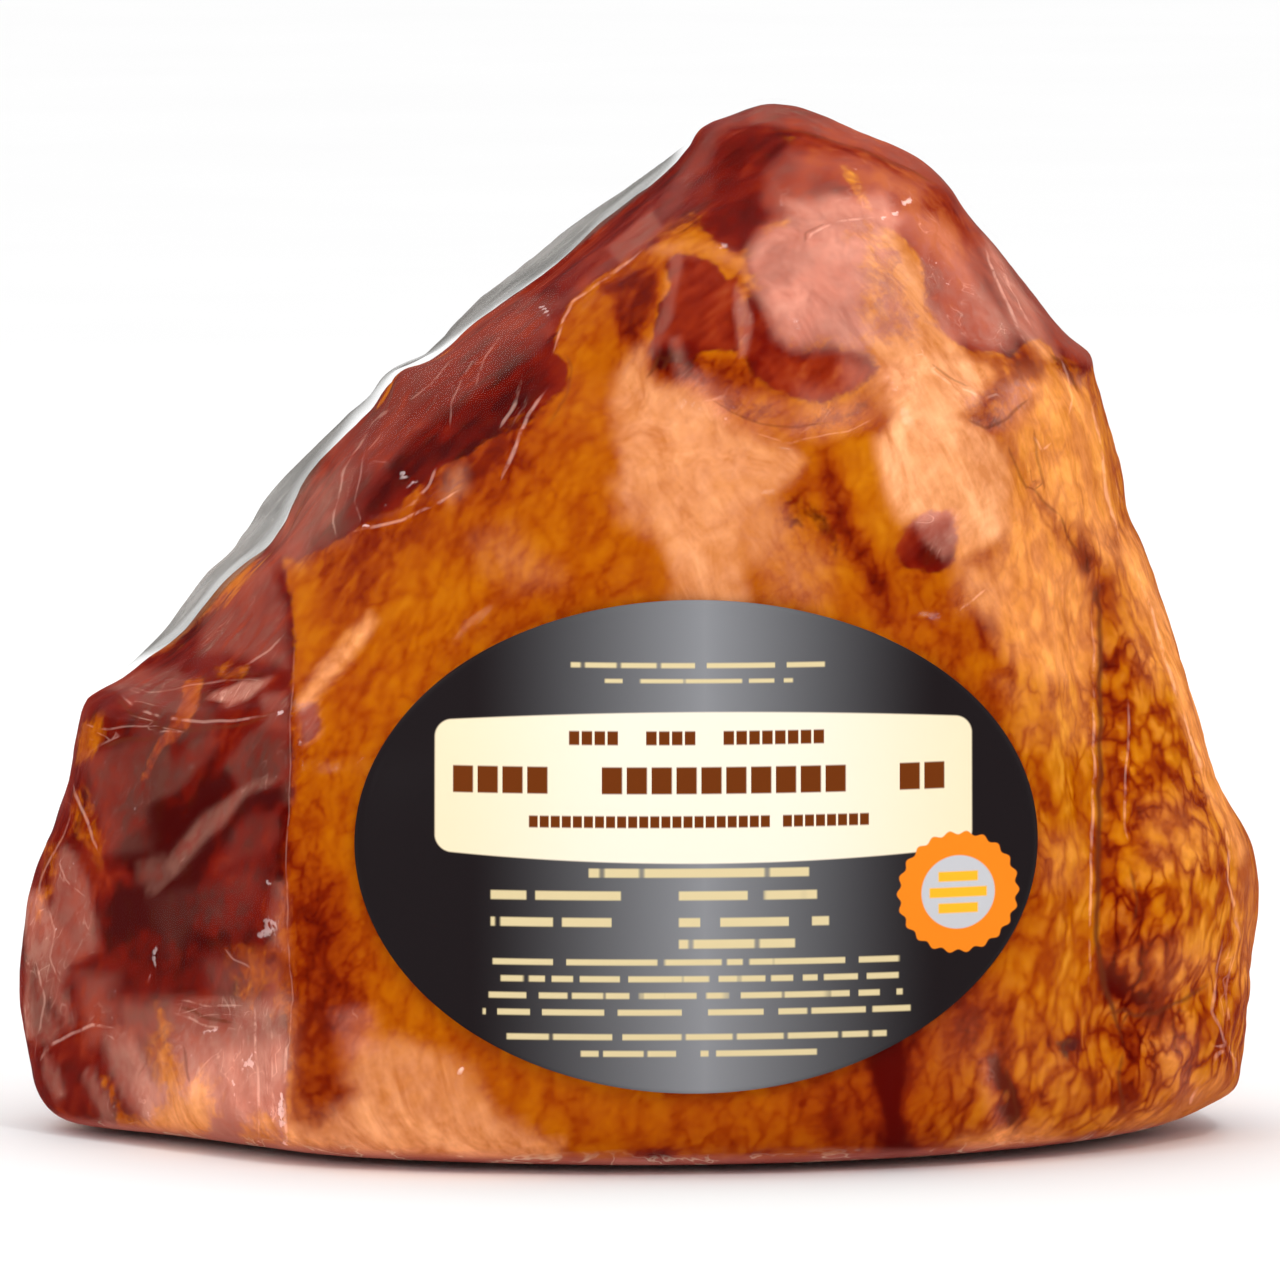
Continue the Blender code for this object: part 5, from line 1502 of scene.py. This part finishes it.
def build_ham():
    """The meat and the film round it, over one grid."""
    plain = ham_grid()
    normals = outward(plain)
    layers = meat_layers(plain, normals)
    free = clear_of_label(plain) * fade(plain[..., 2], *RELIEF_FROM)
    lumpy = np.clip(layers["lumps"] - 0.4, 0, 1)
    meat_relief = LOW_HEIGHT * waves(plain, LOW_SIZE, 71.0, 3)
    meat_relief += LUMP_HEIGHT * lumpy * waves(plain, LUMP_SIZE, 81.0, 2)
    meat_relief -= GROOVE_DEPTH * layers["dark_line"] + LEAN_DROP * layers["lean"]
    meat = plain + normals * (meat_relief * free - MEAT_INSET)[..., None]
    meat[..., 0] -= pinched_reach(plain) * np.interp(plain[..., 2], *zip(*MEAT_IN_PINCH))
    meat[..., 2] = np.maximum(meat[..., 2], MEAT_LIFT)
    stored = {
        "tones": ("lean", "pale", "veil", "depth"),
        "marks": ("lumps", "glint", "cut"),
        "lines": ("pale_side", "pale_line", "dark_side", "dark_line"),
    }
    stored = {name: [layers[key] for key in keys] for name, keys in stored.items()}
    meat_piece = grid_object("smoked_ham", meat, stored)
    meat_piece.data.materials.append(meat_material())

    relief = film_relief(plain, normals, layers) * free
    film = plain + normals * (relief + FILM_STANDS_OUT)[..., None]
    reach = pinched_reach(plain)
    film[..., 0] -= reach
    film[..., 2] = np.maximum(film[..., 2], 0.0)
    reach = reach * (1 - np.interp(plain[..., 2], *zip(*MEAT_IN_PINCH)))
    fin = fade(reach, *FIN_FROM)
    rise = np.clip(reach / FIN_WIDEST, 0, 1)
    milk = np.clip(0.5 * layers["veil"], 0, 1) * (1 - fin)
    slack = np.clip(layers["veil"] + 0.4 * layers["lean"], 0, 1) * free
    film_piece = grid_object("clear_bag", film, {"film": [fin, milk, slack, rise]})
    film_piece.data.materials.append(film_material())
    # The clear film is left out of shadows and soft bounces, which it hardly changes
    film_piece.visible_shadow = False
    film_piece.visible_diffuse = False
    return meat_piece, film_piece


FLOOR_HALF = 14.0
FLOOR_DROP = 0.0002
FLOOR_TONES = ((0.93, 0.93, 0.93), (0.96, 0.96, 0.96))


def build_floor():
    """A plain pale floor, a hair below the ham."""
    mesh = bpy.data.meshes.new("floor")
    corners = [(x * FLOOR_HALF, y * FLOOR_HALF, 0) for x, y in ((-1, -1), (1, -1), (1, 1), (-1, 1))]
    mesh.from_pydata(corners, [], [(0, 1, 2, 3)])
    floor = bpy.data.objects.new("floor", mesh)
    floor.location.z = -FLOOR_DROP
    bpy.context.scene.collection.objects.link(floor)
    made, g, place, output = start_material("pale_floor")
    shader = g.node("ShaderNodeBsdfPrincipled")
    g.feed(shader.inputs["Base Color"], g.mix(g.tone(place, 6.0), *FLOOR_TONES))
    shader.inputs["Roughness"].default_value = 0.9
    shader.inputs["Specular IOR Level"].default_value = 0.0
    g.feed(output.inputs["Surface"], shader.outputs[0])
    mesh.materials.append(made)


LIGHT_AIM = (0, 0, 0.08)


def softbox(name, place, size, power):
    """A rectangular lamp that faces the ham."""
    data = bpy.data.lights.new(name, "AREA")
    data.shape = "RECTANGLE"
    data.size, data.size_y = size
    data.energy = power
    lamp = bpy.data.objects.new(name, data)
    lamp.location = place
    lamp.rotation_euler = (Vector(LIGHT_AIM) - Vector(place)).to_track_quat("-Z", "Y").to_euler()
    bpy.context.scene.collection.objects.link(lamp)


def build_light():
    """White all round, brighter above, with small lamps in front and a broad one behind."""
    world = bpy.data.worlds.new("studio")
    bpy.context.scene.world = world
    world.use_nodes = True
    g = Graph(world.node_tree)
    way = g.node("ShaderNodeSeparateXYZ")
    g.feed(way.inputs[0], g.node("ShaderNodeTexCoord").outputs["Generated"])
    background = world.node_tree.nodes["Background"]
    background.inputs["Color"].default_value = (1.0, 1.0, 1.0, 1.0)
    g.feed(background.inputs["Strength"], g.step(way.outputs[2], -0.1, 0.8, 0.48, 1.0))
    softbox("high_front_right", (0.55, -1.1, 1.25), (0.2, 0.16), 4.0)
    softbox("low_front_left", (-1.0, -1.1, 0.5), (0.08, 0.22), 1.6)
    sky = bpy.data.lights.new("overhead", "SUN")
    sky.energy = 0.4
    sky.angle = math.radians(60)
    bpy.context.scene.collection.objects.link(bpy.data.objects.new("overhead", sky))
    softbox("front_fill", (0.0, -2.6, 0.6), (1.6, 0.8), 3.0)
    softbox("back_rim", (-0.5, 1.1, 0.9), (1.0, 0.6), 3.0)


def build_camera():
    """The photo's camera, level across and tilted a little down."""
    data = bpy.data.cameras.new("camera")
    data.sensor_width = SENSOR
    data.lens = SENSOR * CAMERA_DISTANCE / (PHOTO_SIZE * PIXEL)
    camera = bpy.data.objects.new("camera", data)
    back = Vector((0, -math.cos(CAMERA_ELEVATION), math.sin(CAMERA_ELEVATION)))
    camera.location = Vector(CAMERA_AIM) + back * CAMERA_DISTANCE
    camera.rotation_euler = Euler((math.pi / 2 - CAMERA_ELEVATION, 0, 0))
    bpy.context.scene.collection.objects.link(camera)
    bpy.context.scene.camera = camera


build_camera()
build_floor()
build_light()
meat_piece, film_piece = build_ham()
label_piece = build_label()
for piece in (meat_piece, film_piece):
    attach(piece, "root")
    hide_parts("ham_in_bag")
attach(label_piece, "root")
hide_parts("label")
bpy.context.scene.view_settings.view_transform = "Standard"
